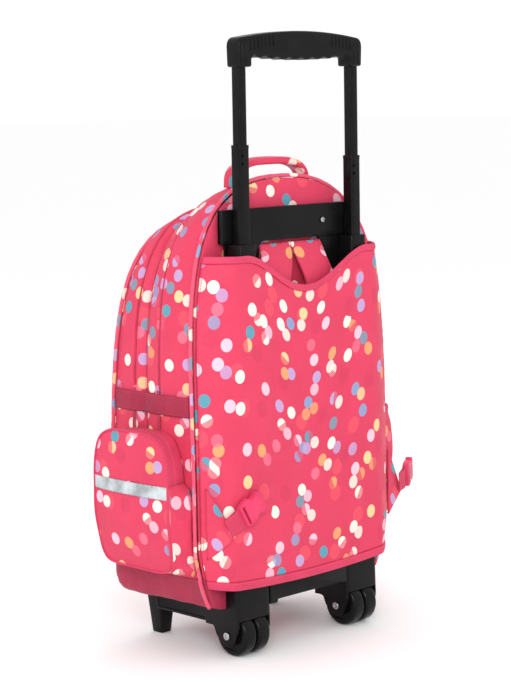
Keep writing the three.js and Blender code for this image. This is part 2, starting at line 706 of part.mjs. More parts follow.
// Haul handle: a padded loop over the bag's top, just in front of the back piping
function haulHandle() {
  const foot = bagTop * interpolate(mainSections, 'depth', 0.35, 'top');
  const steps = 14;
  return loft(Array.from({ length: steps + 1 }, (_, index) => {
    const angle = Math.PI * index / steps;
    const x = -haulHalfSpan * Math.sign(Math.cos(angle)) * Math.abs(Math.cos(angle)) ** 0.6;
    const drop = (1 - Math.sqrt(Math.max(0, 1 - (x / bagHalfWidth) ** 2))) * 18;
    const z = foot - drop + gap + (haulTopZ - foot) * Math.sin(angle) ** 0.8;
    const out = new THREE.Vector3(-Math.cos(angle), 0, Math.sin(angle) * 1.6).normalize();
    const plump = 0.5 + 0.5 * Math.sin(angle);
    const half = haulWidth / 2 * (0.85 + 0.15 * plump);
    return [[-1, 0.3], [-0.5, 1], [0.5, 1], [1, 0.3], [1, -0.3], [0.5, -1], [-0.5, -1], [-1, -0.3]]
      .map(([across, up]) => new THREE.Vector3(haulMiddleX + x, haulY + across * half, z)
        .addScaledVector(out, up * haulThickness / 2 * (0.7 + 0.6 * plump)));
  }));
}
add('haul_handle', haulHandle(), 'printedCloth');

// Corner tabs on the back edge, each with a webbing loop and the socket half of a buckle
const tabTopZ = 204;
const tabBottomZ = 122;
const tabReach = 32;
const tabApexZ = 149;
const tabThickness = 3;
const buckleLength = 36;
const buckleWidth = 31;
const buckleThickness = 8;
const buckleNotchRadius = 7;
const webbingReach = 16;
const strapRise = { left: THREE.MathUtils.degToRad(30), right: THREE.MathUtils.degToRad(10) };

// The left tab lies folded in over the cover, the right one stands out past the back edge.
const tabRoot = {
  left: [-coverHalfWidth + 3, 0],
  right: [bagHalfWidth + 2 * pipingRadius + 2.2, backPipingY(tabApexZ) - 1],
};
const rightTabOutward = new THREE.Vector2(0.97, 0.24);
function tabPoint(name, along, z, lift) {
  const [x, y] = tabRoot[name];
  if (name === 'right') {
    return new THREE.Vector3(x + along * rightTabOutward.x, y + along * rightTabOutward.y - lift, z);
  }
  const over = x + along * 0.86;
  return new THREE.Vector3(over, coverSurfaceY(over, z) - 3 * gap - lift, z);
}
function cornerTab(name) {
  const grid = (lift) => [0, 0.25, 0.5, 0.75, 1].map((share) => [0, 1].map((up) => {
    const low = THREE.MathUtils.lerp(tabBottomZ, tabApexZ - 3, share);
    const high = THREE.MathUtils.lerp(tabTopZ, tabApexZ + 1, share);
    return tabPoint(name, share * tabReach, THREE.MathUtils.lerp(low, high, up), lift);
  }));
  return wallBetween(grid(tabThickness), grid(0));
}

// The loop leaves the tab square to its upper edge and lies in one plane with the buckle.
function strapAxis(name) {
  const edge = new THREE.Vector2(-tabReach, tabTopZ - tabApexZ).normalize();
  const start = new THREE.Vector2(tabReach, tabApexZ).addScaledVector(edge, webbingWidth / 2);
  const origin = tabPoint(name, start.x, start.y, tabThickness + (name === 'left' ? 5 : 9) * gap);
  if (name === 'left') origin.y = Math.min(origin.y, coverY - 4 * gap);
  const outward = name === 'left' ? new THREE.Vector3(1, 0, 0) : new THREE.Vector3(0.85, 0.53, 0);
  outward.normalize();
  const rise = strapRise[name];
  const along = outward.clone().multiplyScalar(Math.cos(rise)).setZ(Math.sin(rise)).normalize();
  const face = new THREE.Vector3().crossVectors(outward, new THREE.Vector3(0, 0, 1)).normalize();
  return { origin, along, face, across: new THREE.Vector3().crossVectors(along, face).normalize() };
}
function slab(axis, outline, low, high) {
  const { origin, along, across, face } = axis;
  return loft([low, high].map((lift) => outline.map(([u, v]) => origin.clone()
    .addScaledVector(along, u).addScaledVector(across, v).addScaledVector(face, lift))));
}
function tabWebbing(name) {
  const half = webbingWidth / 2;
  const axis = strapAxis(name);
  const outline = [[0, -half], [webbingReach, -half], [webbingReach, half], [0, half]];
  return slab(axis, outline, 0, webbingThickness);
}
function buckleSocket(name) {
  const half = buckleWidth / 2;
  const axis = strapAxis(name);
  const from = webbingReach + gap;
  const to = from + buckleLength;
  const body = slab(axis, [
    [from, -half * 0.86], [from + 6, -half], [to - 8, -half], [to, -half * 0.8],
    [to, half * 0.8], [to - 8, half], [from + 6, half], [from, half * 0.86],
  ], gap, gap + buckleThickness);
  const notch = (sign) => {
    const steps = 12;
    const circle = Array.from({ length: steps }, (_, index) => {
      const angle = 2 * Math.PI * index / steps;
      return [from + buckleLength * 0.62 + buckleNotchRadius * Math.cos(angle),
        sign * (half + 2.5) + buckleNotchRadius * Math.sin(angle)];
    });
    return slab(axis, circle, -1, buckleThickness + 2);
  };
  const mouth = slab(axis, [[from + 16, -half * 0.62], [to + 2, -half * 0.62], [to + 2, half * 0.62],
    [from + 16, half * 0.62]], 2.3, 6.3);
  return cut(body, notch(1), notch(-1), mouth);
}
for (const name of ['left', 'right']) {
  add(`corner_tab_${name}`, cornerTab(name), 'printedCloth');
  add(`tab_webbing_${name}`, tabWebbing(name), 'plainPink');
  add(`buckle_${name}`, buckleSocket(name), 'pinkPlastic');
}

// Pull handle: fixed, middle and inner tubes, collars, bracket plate and grip
function squareTube(outside, hole, length) {
  const shape = roundedRectangle(outside, outside, outside * 0.2);
  shape.holes.push(roundedRectangle(hole, hole, hole * 0.16, THREE.Path));
  return upright(shape, 0, length, 1);
}
const fixedTubeBottomZ = housingTopZ + gap;
const fixedTubeTopZ = collarTopZ - 2;
const gripSocketDepth = 26;
const innerTubeLength = gripLegBottomZ + gripSocketDepth - innerTubeBottomZ - gap;

function collar(side) {
  const collarOuterX = side * (tubeHalfSpan + collarWidth / 2);
  const collarInnerX = side * (tubeHalfSpan - collarWidth / 2);
  const [low, high] = [Math.min(collarOuterX, collarInnerX), Math.max(collarOuterX, collarInnerX)];
  const depth = collarBackY - collarFrontY;
  const block = upright(roundedRectangle(high - low, depth, 3), collarTopZ - collarHeight, collarTopZ, 2)
    .translate((low + high) / 2, (collarFrontY + collarBackY) / 2, 0);
  const hole = fixedTubeSize + 2 * gap;
  const lip = middleTubeSize + 2 * slideFit;
  const at = [side * tubeHalfSpan, tubeY, 0];
  const bore = upright(roundedRectangle(hole, hole, hole * 0.2), collarTopZ - collarHeight - 1, fixedTubeTopZ + gap, 1);
  const mouth = upright(roundedRectangle(lip, lip, lip * 0.2), fixedTubeTopZ - 1, collarTopZ + 1, 1);
  return cut(block, bore.translate(...at), mouth.translate(...at));
}

for (const [name, side, middleTop] of [['left', -1, middleTubeTopLeftZ], ['right', 1, middleTubeTopRightZ]]) {
  const x = side * tubeHalfSpan;
  const fixedTube = squareTube(fixedTubeSize, fixedTubeHole, fixedTubeTopZ - fixedTubeBottomZ);
  add(`fixed_tube_${name}`, fixedTube, 'blackMetal', [x, tubeY, fixedTubeBottomZ]);
  const middleTube = squareTube(middleTubeSize, middleTubeHole, middleTubeLength);
  add(`middle_tube_${name}`, middleTube, 'blackMetal', [x, tubeY, middleTop - middleTubeLength]);
  const innerTube = squareTube(innerTubeSize, innerTubeHole, innerTubeLength);
  add(`inner_tube_${name}`, innerTube, 'blackMetal', [x, tubeY, innerTubeBottomZ]);
  add(`collar_${name}`, collar(side), 'blackPlastic');
}

const screwX = 50;
const screwHeadRadius = 3.2;
const plate = upright(roundedRectangle(2 * plateHalfWidth, plateBackY - plateFrontY, 1.5), plateBottomZ, plateTopZ)
  .translate(0, (plateFrontY + plateBackY) / 2, 0);
const flanges = [[-flangeOuterX, -flangeInnerX], [flangeInnerX, flangeOuterX]].map(([low, high]) => box(
  [low, collarBackY + gap, flangeBottomZ],
  [high, collarBackY + gap + flangeThickness, plateBottomZ + 1],
));
add('bracket_plate', join(plate, ...flanges), 'blackPlastic');
add('bracket_screw', new THREE.CylinderGeometry(screwHeadRadius, screwHeadRadius, 1.6, 12), 'steel',
  [screwX, plateFrontY - gap - 0.8, (plateBottomZ + plateTopZ) / 2]);

// Grip: an arched bar on two legs, with finger waves under it and upright ribs near its ends
const gripLegOuter = tubeHalfSpan + innerTubeSize / 2 + 2.4;
const gripLegInner = tubeHalfSpan - innerTubeSize / 2 - 5.3;
const gripEndZ = 706;
const gripCorner = 6;
const gripUnderZ = 686.5;
const gripUnderSag = 4;
const fingerWaves = 8;
const gripBarMargin = 5;
const fingerWaveHeight = 1.6;
function gripShape() {
  const shape = new THREE.Shape();
  const underZ = (x) => gripUnderZ - gripUnderSag * (1 - (x / gripLegInner) ** 2);
  shape.moveTo(-gripLegOuter, gripLegBottomZ);
  shape.lineTo(-gripHalfWidth, gripEndZ - 8);
  shape.quadraticCurveTo(-gripHalfWidth, gripEndZ, -gripHalfWidth + gripCorner, gripEndZ + 1);
  shape.quadraticCurveTo(0, 2 * gripTopZ - gripEndZ - 1, gripHalfWidth - gripCorner, gripEndZ + 1);
  shape.quadraticCurveTo(gripHalfWidth, gripEndZ, gripHalfWidth, gripEndZ - 8);
  shape.lineTo(gripLegOuter, gripLegBottomZ);
  shape.lineTo(gripLegInner, gripLegBottomZ);
  shape.lineTo(gripLegInner, gripUnderZ - 3);
  const steps = fingerWaves * 2;
  for (let step = 0; step <= steps; step++) {
    const share = 1 - 2 * step / steps;
    const x = share * (gripLegInner - gripBarMargin);
    const wave = fingerWaveHeight / 2 * Math.cos(2 * Math.PI * fingerWaves * step / steps);
    shape.lineTo(x, underZ(x) + wave);
  }
  shape.lineTo(-gripLegInner, gripUnderZ - 3);
  shape.lineTo(-gripLegInner, gripLegBottomZ);
  return shape;
}
const gripBevel = 2.5;
const gripBlank = new THREE.ExtrudeGeometry(gripShape(), {
  depth: gripDepth - 2 * gripBevel, bevelThickness: gripBevel, bevelSize: gripBevel, bevelOffset: -gripBevel,
  bevelSegments: 1, curveSegments: 8,
}).rotateX(Math.PI / 2).translate(0, tubeY + gripDepth / 2 - gripBevel, 0);
const gripSocketSize = innerTubeSize + 2 * gap;
const gripSockets = [-1, 1].map((side) =>
  upright(roundedRectangle(gripSocketSize, gripSocketSize, gripSocketSize * 0.2), gripLegBottomZ - 1,
    gripLegBottomZ + gripSocketDepth, 1).translate(side * tubeHalfSpan, tubeY, 0));
const ribPitch = 6;
const ribWidth = 2;
const ribHeight = 13;
const ribs = [[-1, 7], [1, 6]].flatMap(([side, count]) => Array.from({ length: count }, (_, index) => {
  const x = side * (gripHalfWidth - 24 - index * ribPitch);
  const z = gripEndZ - 3 + (gripTopZ - gripEndZ) * (1 - (x / gripHalfWidth) ** 2) * 0.6;
  const face = tubeY - gripDepth / 2;
  return box([x - ribWidth / 2, face - 1, z - ribHeight / 2], [x + ribWidth / 2, face + 1, z + ribHeight / 2]);
}));
add('grip', join(cut(gripBlank, ...gripSockets), ...ribs), 'blackPlastic');

// Wheel base: two housings, the beam between them, side rails and front feet
const wheelCavityRadius = wheelRadius + 1.4;
function wheelHousing(side) {
  const profile = new THREE.Shape();
  profile.moveTo(housingRearY, housingTopZ);
  profile.lineTo(housingRearY, 39);
  profile.lineTo(-12, 20);
  profile.absarc(0, wheelRadius, 13, -2.7, -0.55);
  profile.lineTo(18, 24);
  profile.lineTo(22, railBottomZ + 2);
  profile.lineTo(housingFrontY, railBottomZ);
  profile.lineTo(housingFrontY, railTopZ);
  profile.lineTo(backFaceY - gap, railTopZ);
  profile.lineTo(backFaceY - gap, housingTopZ);
  const [fromX, toX] = side < 0 ? [-housingOuterX, -housingInnerX] : [housingInnerX, housingOuterX];
  const cavity = new THREE.CylinderGeometry(wheelCavityRadius, wheelCavityRadius,
    toX - fromX - 2 * cheekThickness, 20).rotateZ(Math.PI / 2).translate((fromX + toX) / 2, 0, wheelRadius);
  const bore = new THREE.CylinderGeometry(axleRadius + gap, axleRadius + gap, toX - fromX + 4, 10)
    .rotateZ(Math.PI / 2).translate((fromX + toX) / 2, 0, wheelRadius);
  return cut(across(profile, fromX, toX), cavity, bore);
}
function wheelProfile() {
  const half = wheelWidth / 2;
  const bore = axleRadius + gap;
  return [
    [bore, -half + 1.5], [15, -half + 1.5], [18, -half], [22, -half + 0.8], [wheelRadius, -half * 0.4],
    [wheelRadius, half * 0.4], [22, half - 0.8], [18, half], [15, half - 1.5],
    [bore, half - 1.5], [bore, -half + 1.5],
  ].map(([radius, along]) => new THREE.Vector2(radius, along));
}
const housingMiddleX = (housingOuterX + housingInnerX) / 2;
for (const [name, side] of [['left', -1], ['right', 1]]) {
  add(`wheel_housing_${name}`, wheelHousing(side), 'blackPlastic');
  const axleLength = housingOuterX - housingInnerX + 1;
  const head = (end) => new THREE.CylinderGeometry(5, 5, 1.4, 10).translate(0, end * (axleLength / 2 + 0.7 + gap), 0);
  const pin = new THREE.CylinderGeometry(axleRadius, axleRadius, axleLength + 2 * gap + 0.2, 10);
  const axle = join(pin, head(-1), head(1)).rotateZ(Math.PI / 2);
  add(`axle_${name}`, axle, 'steel', [side * housingMiddleX, 0, wheelRadius]);
  for (const [place, offset] of [['outer', 1], ['inner', -1]]) {
    const wheel = new THREE.LatheGeometry(wheelProfile(), 20).rotateZ(Math.PI / 2);
    const x = side * (housingMiddleX + offset * wheelSpacing / 2);
    add(`wheel_${name}_${place}`, wheel, 'wheelBlack', [x, 0, wheelRadius]);
  }
  const railX = side * 100;
  const railEnd = footFrontY - footDepth - gap;
  add(`base_rail_${name}`, box([railX - railWidth / 2, housingFrontY + gap, railBottomZ],
    [railX + railWidth / 2, railEnd, railTopZ]), 'blackPlastic');
  const foot = (z, halfX, rear, front, chamfer) => [
    [-halfX + chamfer, rear], [halfX - chamfer, rear], [halfX, rear + chamfer], [halfX, front - chamfer],
    [halfX - chamfer, front], [-halfX + chamfer, front], [-halfX, front - chamfer], [-halfX, rear + chamfer],
  ].map(([x, y]) => new THREE.Vector3(side * 92 + x, y, z));
  add(`front_foot_${name}`, loft([
    foot(0, 8, footFrontY - footDepth + 4, footFrontY - 4, 2),
    foot(4, 10, footFrontY - footDepth + 2, footFrontY - 1.5, 3),
    foot(34, 13, footFrontY - footDepth, footFrontY, 3),
    foot(railTopZ, 14, footFrontY - footDepth, footFrontY, 3),
  ]), 'blackPlastic');
}
const beamBottomZ = 59;
add('rear_beam', box([-housingInnerX + gap, housingRearY, beamBottomZ],
  [housingInnerX - gap, backFaceY - gap, housingTopZ]), 'blackPlastic');

// The origin is the middle of the footprint, on the floor.
backpack.updateMatrixWorld(true);
const bounds = new THREE.Box3().setFromObject(backpack);
backpack.position.set(-(bounds.min.x + bounds.max.x) / 2, -(bounds.min.y + bounds.max.y) / 2, -bounds.min.z);

export default backpack;
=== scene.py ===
"""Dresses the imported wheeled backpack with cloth, piping, plastic and metal, and sets the studio."""

import math

import bpy
import bmesh
import numpy as np
from mathutils import Matrix, Vector, noise


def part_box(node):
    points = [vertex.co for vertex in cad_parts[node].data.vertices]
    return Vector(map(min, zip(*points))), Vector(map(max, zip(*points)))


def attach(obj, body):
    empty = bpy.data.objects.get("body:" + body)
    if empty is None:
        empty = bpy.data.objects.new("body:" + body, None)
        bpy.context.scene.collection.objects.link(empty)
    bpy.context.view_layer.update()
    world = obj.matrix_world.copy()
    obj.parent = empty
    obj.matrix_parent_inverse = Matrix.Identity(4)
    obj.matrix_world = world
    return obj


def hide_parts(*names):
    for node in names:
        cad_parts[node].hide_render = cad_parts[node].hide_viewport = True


bl_info = {
    "name": "Wheeled School Backpack",
    "version": (1, 0, 0),
    "blender": (4, 5, 0),
    "location": "3D View > Sidebar > Backpack",
    "description": "Builds the cloth, trims and moulded parts of a wheeled school backpack",
    "category": "Object",
}

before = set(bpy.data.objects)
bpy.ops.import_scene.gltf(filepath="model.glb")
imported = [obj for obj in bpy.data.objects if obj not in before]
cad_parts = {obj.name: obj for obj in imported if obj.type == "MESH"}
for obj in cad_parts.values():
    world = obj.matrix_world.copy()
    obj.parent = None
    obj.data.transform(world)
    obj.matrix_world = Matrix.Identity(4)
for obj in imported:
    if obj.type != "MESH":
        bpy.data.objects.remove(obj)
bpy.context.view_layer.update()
BAG_BODY = "bag_and_base"
MM = 0.001


def middle_of(*nodes):
    corners = [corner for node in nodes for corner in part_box(node)]
    low = Vector([min(c[i] for c in corners) for i in range(3)])
    high = Vector([max(c[i] for c in corners) for i in range(3)])
    return (low + high) / 2


# The bag is measured from the floor, midway between the two pairs of wheels.
WHEELS_MIDDLE = middle_of("wheel_left_outer", "wheel_right_outer")
ORIGIN = Vector((WHEELS_MIDDLE.x, WHEELS_MIDDLE.y, 0))


def spot(x, y, z):
    """A place in the part's frame, in metres, from millimetres over the wheel axles."""
    return ORIGIN + Vector((x, y, z)) * MM


# Sizes of the bag, in millimetres
HALF_WIDTH = 158
BAG_TOP = 546
SPRING_Z = 240
SEAM_Z = 96
SHELL_FOOT = 96.3
MAIN_SEAM_Y = 88
PANEL = 8
CLOTH = 2
ZIP_END_Z = 312
BACK_POWER = 2.5
UP_POWER = 4
LOWER_Z = [57.5, 61, 69, 82, 96, 125]
LOWER_SHARE = [0.8, 0.862, 0.892, 0.925, 0.955, 1]
LOWER_FLARE = [4, 10, 13, 10, 6, 0]
MAIN_TABLE = np.array([
    (0, 0.996, 1, 2.5), (0.3, 1.018, 0.995, 2.65), (0.62, 1.024, 0.978, 2.65),
    (0.9, 1.004, 0.955, 2.65), (1, 0.978, 0.944, 2.6),
])
FRONT_TABLE = np.array([
    (0, 0.968, 0.938, 2.6), (0.14, 0.998, 0.944, 2.8), (0.4, 1.012, 0.942, 2.95),
    (0.75, 1.008, 0.93, 3), (1, 0.988, 0.912, 2.95),
])


class BackpackSizes(bpy.types.PropertyGroup):
    """Sizes that a user would change"""

    dot_radius: bpy.props.FloatProperty(
        name="Dot radius", description="Radius of a printed dot", default=0.0070, unit="LENGTH")
    dot_spacing: bpy.props.FloatProperty(
        name="Dot spacing", description="Mean distance between groups of dots", default=0.0300,
        unit="LENGTH")
    piping_radius: bpy.props.FloatProperty(
        name="Piping radius", description="Radius of the piping on the bag's edges", default=0.0023,
        unit="LENGTH")
    stitch_pitch: bpy.props.FloatProperty(
        name="Stitch pitch", description="Length of one stitch and its gap", default=0.0034, unit="LENGTH")
    wrinkle_depth: bpy.props.FloatProperty(
        name="Wrinkle depth", description="Depth of the soft folds in the cloth", default=0.0014,
        unit="LENGTH")


def colour_property(name, description, value):
    return bpy.props.FloatVectorProperty(
        name=name, description=description, default=value, size=3, min=0, max=1, subtype="COLOR")


class BackpackColours(bpy.types.PropertyGroup):
    """Base colours, linear"""

    print_pink: colour_property("Printed pink", "Ground of the printed cloth", (0.66, 0.046, 0.105))
    plain_pink: colour_property("Plain pink", "Bindings, webbing and lining", (0.62, 0.044, 0.110))
    dark_pink: colour_property("Dark pink", "Base and side bands", (0.36, 0.024, 0.062))
    piping_pink: colour_property("Piping pink", "Piping on the edges", (0.74, 0.085, 0.155))
    buckle_pink: colour_property("Buckle pink", "Moulded buckles", (0.60, 0.044, 0.115))
    tape_grey: colour_property("Reflective grey", "Reflective strip", (0.45, 0.49, 0.51))
    plastic_black: colour_property("Plastic black", "Moulded plastic", (0.0050, 0.0046, 0.0050))
    tube_black: colour_property("Tube black", "Coated square tube", (0.0030, 0.0030, 0.0034))


def sizes():
    return bpy.context.scene.backpack_sizes


def colours():
    return bpy.context.scene.backpack_colours


# Node helpers for the materials

class Graph:
    """A material's node tree, with short calls for the nodes used here."""

    def __init__(self, name):
        self.material = bpy.data.materials.new(name)
        self.material.use_nodes = True
        self.tree = self.material.node_tree
        self.shader = self.tree.nodes["Principled BSDF"]

    def node(self, kind, **settings):
        made = self.tree.nodes.new(kind)
        for key, value in settings.items():
            setattr(made, key, value)
        return made

    def link(self, source, target):
        self.tree.links.new(source, target)

    def feed(self, socket, value):
        if isinstance(value, bpy.types.NodeSocket):
            self.link(value, socket)
        else:
            socket.default_value = value

    def math(self, operation, a, b=0.0, c=0.0, clamp=False):
        made = self.node("ShaderNodeMath", operation=operation, use_clamp=clamp)
        for socket, value in zip(made.inputs, (a, b, c)):
            self.feed(socket, value)
        return made.outputs[0]

    def vector(self, operation, a, b=(0, 0, 0)):
        made = self.node("ShaderNodeVectorMath", operation=operation)
        self.feed(made.inputs[0], a)
        self.feed(made.inputs[1], b)
        return made.outputs["Value"] if operation in {"DOT_PRODUCT", "LENGTH"} else made.outputs[0]

    def mix(self, factor, a, b, kind="MIX"):
        made = self.node("ShaderNodeMix", data_type="RGBA", blend_type=kind)
        self.feed(made.inputs[0], factor)
        self.feed(made.inputs[6], a)
        self.feed(made.inputs[7], b)
        return made.outputs[2]

    def fade(self, value, low, high, to_low=0.0, to_high=1.0):
        made = self.node("ShaderNodeMapRange")
        for socket, number in zip(made.inputs, (value, low, high, to_low, to_high)):
            self.feed(socket, number)
        return made.outputs[0]

    def noise(self, where, scale, detail=2.0, roughness=0.5):
        made = self.node("ShaderNodeTexNoise")
        self.feed(made.inputs["Vector"], where)
        made.inputs["Scale"].default_value = scale
        made.inputs["Detail"].default_value = detail
        made.inputs["Roughness"].default_value = roughness
        return made.outputs[0]

    def wave(self, where, period, direction="X", distortion=0.0):
        made = self.node("ShaderNodeTexWave", bands_direction=direction)
        self.feed(made.inputs["Vector"], where)
        made.inputs["Scale"].default_value = math.pi / (10 * period)
        made.inputs["Distortion"].default_value = distortion
        return made.outputs["Fac"]

    def bump(self, height, strength, distance, below=None):
        made = self.node("ShaderNodeBump")
        made.inputs["Strength"].default_value = strength
        made.inputs["Distance"].default_value = distance
        self.feed(made.inputs["Height"], height)
        if below is not None:
            self.link(below, made.inputs["Normal"])
        return made.outputs[0]

    def uv(self):
        return self.node("ShaderNodeUVMap", uv_map="flat").outputs[0]

    def object_space(self):
        return self.node("ShaderNodeTexCoord").outputs["Object"]

    def xyz(self, where):
        made = self.node("ShaderNodeSeparateXYZ")
        self.link(where, made.inputs[0])
        return made.outputs

    def finish(self, colour, roughness, normal=None, **constants):
        self.feed(self.shader.inputs["Base Color"], colour)
        self.feed(self.shader.inputs["Roughness"], roughness)
        for key, value in constants.items():
            self.shader.inputs[key.replace("_", " ")].default_value = value
        if normal is not None:
            self.link(normal, self.shader.inputs["Normal"])
        return self.material


def rgba(colour, gain=1.0):
    return (*[min(1.0, channel * gain) for channel in colour], 1.0)


def hex_colour(text):
    channels = [int(text[i:i + 2], 16) / 255 for i in (0, 2, 4)]
    return (*[c / 12.92 if c <= 0.04045 else ((c + 0.055) / 1.055) ** 2.4 for c in channels], 1.0)


# Dot colours of the print and how often each comes up
DOT_COLOURS = [
    ("f7ebdd", 0.30), ("f4c4d3", 0.15), ("b7a0cc", 0.12), ("7f9cc4", 0.07),
    ("3d9db0", 0.13), ("f0a06c", 0.11), ("f1cf98", 0.06), ("f46f86", 0.06),
]


def dot_ramp(graph, value):
    made = graph.node("ShaderNodeValToRGB")
    ramp = made.color_ramp
    ramp.interpolation = "CONSTANT"
    start = 0.0
    for index, (colour, share) in enumerate(DOT_COLOURS):
        stop = ramp.elements[index] if index < 2 else ramp.elements.new(start)
        stop.position = start
        stop.color = hex_colour(colour)
        start += share
    graph.link(value, made.inputs[0])
    return made.outputs[0]


def dot_layer(graph, below, where, offset, chance, opacity, twist):
    """Prints one set of dots: some whole, some half with a hatched other half."""
    radius = sizes().dot_radius
    scale = 1 / sizes().dot_spacing
    shifted = graph.vector("ADD", where, (*offset, 0))
    cells = graph.node("ShaderNodeTexVoronoi", voronoi_dimensions="2D")
    graph.link(shifted, cells.inputs["Vector"])
    cells.inputs["Scale"].default_value = scale
    cells.inputs["Randomness"].default_value = 0.82
    parts = graph.node("ShaderNodeSeparateColor")
    graph.link(cells.outputs["Color"], parts.inputs[0])
    red, green, blue = parts.outputs[:3]
    edge = graph.fade(cells.outputs["Distance"], (radius + 0.0002) * scale, (radius - 0.0002) * scale)
    chosen = graph.math("FRACT", graph.math("MULTIPLY", red, 7.31 + twist))
    present = graph.math("LESS_THAN", chosen, chance)
    local = graph.vector("SUBTRACT", shifted, cells.outputs["Position"])
    turn = graph.math("MULTIPLY", blue, 40.0)
    heading = graph.node("ShaderNodeCombineXYZ")
    graph.link(graph.math("COSINE", turn), heading.inputs[0])
    graph.link(graph.math("SINE", turn), heading.inputs[1])
    along = graph.vector("DOT_PRODUCT", local, heading.outputs[0])
    solid_half = graph.math("GREATER_THAN", along, 0.0)
    hatch = graph.math("GREATER_THAN", graph.math("SINE", graph.math("MULTIPLY", along, 4200.0)), 0.1)
    half = graph.math("MAXIMUM", solid_half, graph.math("MULTIPLY", hatch, 0.55))
    whole = graph.math("GREATER_THAN", graph.math("FRACT", graph.math("MULTIPLY", blue, 3.7 + twist)), 0.22)
    kind = graph.math("MAXIMUM", half, whole)
    mask = graph.math("MULTIPLY", graph.math("MULTIPLY", edge, present), kind)
    tint = dot_ramp(graph, graph.math("FRACT", graph.math("MULTIPLY", green, 9.17 + twist)))
    return graph.mix(graph.math("MULTIPLY", mask, opacity), below, tint)


def printed_ground(graph, where):
    """The pink ground with faint tone-on-tone dots and a slow drift of shade."""
    pink = colours().print_pink
    cells = graph.node("ShaderNodeTexVoronoi", voronoi_dimensions="2D")
    graph.link(graph.vector("ADD", where, (0.31, 0.17, 0)), cells.inputs["Vector"])
    cells.inputs["Scale"].default_value = 1 / 0.052
    cells.inputs["Randomness"].default_value = 0.9
    spot_edge = graph.fade(cells.outputs["Distance"], 0.0092 / 0.052, 0.0086 / 0.052)
    parts = graph.node("ShaderNodeSeparateColor")
    graph.link(cells.outputs["Color"], parts.inputs[0])
    bright = graph.math("GREATER_THAN", parts.outputs[0], 0.5)
    tone = graph.mix(bright, rgba((pink[0] * 0.82, pink[1] * 0.75, pink[2] * 0.9)),
                     rgba((0.88, 0.105, 0.13)))
    drift = graph.noise(where, 14, 3)
    ground = graph.mix(graph.fade(drift, 0.3, 0.7), rgba(pink, 0.93), rgba(pink, 1.05))
    return graph.mix(graph.math("MULTIPLY", spot_edge, 0.42), ground, tone)


def cloth_surface(graph, where, period=0.0011, wrinkle=0.5):
    """Bump of a plain weave over soft creases."""
    weave = graph.math("ADD", graph.wave(where, period, "X"), graph.wave(where, period, "Y"))
    creases = graph.noise(graph.object_space(), 26, 4, 0.55)
    soft = graph.bump(creases, wrinkle, 0.006)
    fine = graph.bump(graph.noise(where, 900, 2), 0.12, 0.0004, soft)
    return graph.bump(weave, 0.22, 0.00018, fine)


def stitch_rows(graph, colour, rows, tint):
    """Lays dashed thread along u at each distance from a seam that rows names."""
    across = graph.xyz(graph.node("ShaderNodeUVMap", uv_map="seam").outputs[0])
    pitch = sizes().stitch_pitch
    dash = graph.math("LESS_THAN", graph.math("FRACT", graph.math("DIVIDE", across[0], pitch)), 0.66)
    height = None
    for row in rows:
        near = graph.math("ABSOLUTE", graph.math("SUBTRACT", across[1], row))
        line = graph.math("MULTIPLY", graph.fade(near, 0.0007, 0.0003), dash)
        colour = graph.mix(graph.math("MULTIPLY", line, 0.75), colour, tint)
        height = line if height is None else graph.math("MAXIMUM", height, line)
    return colour, height


def printed_cloth(name, rows=(), ground=None):
    graph = Graph(name)
    where = graph.uv()
    colour = printed_ground(graph, where) if ground is None else rgba(ground)
    colour = dot_layer(graph, colour, where, (0.0, 0.0), 0.74, 0.92, 0.0)
    colour = dot_layer(graph, colour, where, (-0.0095, 0.0085), 0.30, 0.74, 1.7)
    colour = dot_layer(graph, colour, where, (0.0040, 0.0135), 0.22, 0.74, 3.1)
    normal = cloth_surface(graph, where)
    if rows:
        colour, height = stitch_rows(graph, colour, rows, rgba(colours().print_pink, 1.25))
        normal = graph.bump(height, 0.6, 0.0004, normal)
    rough = graph.fade(graph.noise(where, 60, 2), 0.3, 0.7, 0.56, 0.70)
    return graph.finish(colour, rough, normal, Sheen_Weight=0.04, Sheen_Roughness=0.45,
                        Specular_IOR_Level=0.25)


def plain_cloth(name, colour, rows=(), ribs=0.0, wrinkle=0.35, gloss=0.66):
    graph = Graph(name)
    where = graph.uv()
    drift = graph.noise(graph.object_space(), 30, 3)
    tint = graph.mix(graph.fade(drift, 0.3, 0.7), rgba(colour, 0.9), rgba(colour, 1.08))
    normal = cloth_surface(graph, where, 0.0009, wrinkle)
    if ribs:
        rib = graph.wave(where, ribs, "Y")
        tint = graph.mix(graph.math("MULTIPLY", rib, 0.22), tint, rgba(colour, 0.7))
        normal = graph.bump(rib, 0.5, 0.0005, normal)
    if rows:
        tint, height = stitch_rows(graph, tint, rows, rgba(colour, 1.35))
        normal = graph.bump(height, 0.6, 0.0004, normal)
    rough = graph.fade(graph.noise(where, 80, 2), 0.3, 0.7, gloss - 0.06, gloss + 0.06)
    return graph.finish(tint, rough, normal, Sheen_Weight=0.04, Sheen_Roughness=0.5,
                        Specular_IOR_Level=0.25)


def zip_cloth(name):
    """Zip tape with its coil down the middle: v runs across the tape, from 0."""
    graph = Graph(name)
    where = graph.uv()
    across = graph.xyz(where)
    middle = graph.math("ABSOLUTE", graph.math("SUBTRACT", across[1], 0.0031))
    coil = graph.fade(middle, 0.0016, 0.0012)
    teeth = graph.math("MULTIPLY", graph.wave(where, 0.0019, "X"), coil)
    pink = colours().plain_pink
    colour = graph.mix(coil, rgba(pink, 0.62), rgba(pink, 1.05))
    colour = graph.mix(graph.math("MULTIPLY", teeth, 0.55), colour, rgba(pink, 0.35))
    normal = graph.bump(graph.math("ADD", coil, teeth), 0.8, 0.0006)
    return graph.finish(colour, graph.mix(coil, (0.7, 0.7, 0.7, 1), (0.35, 0.35, 0.35, 1)), normal)


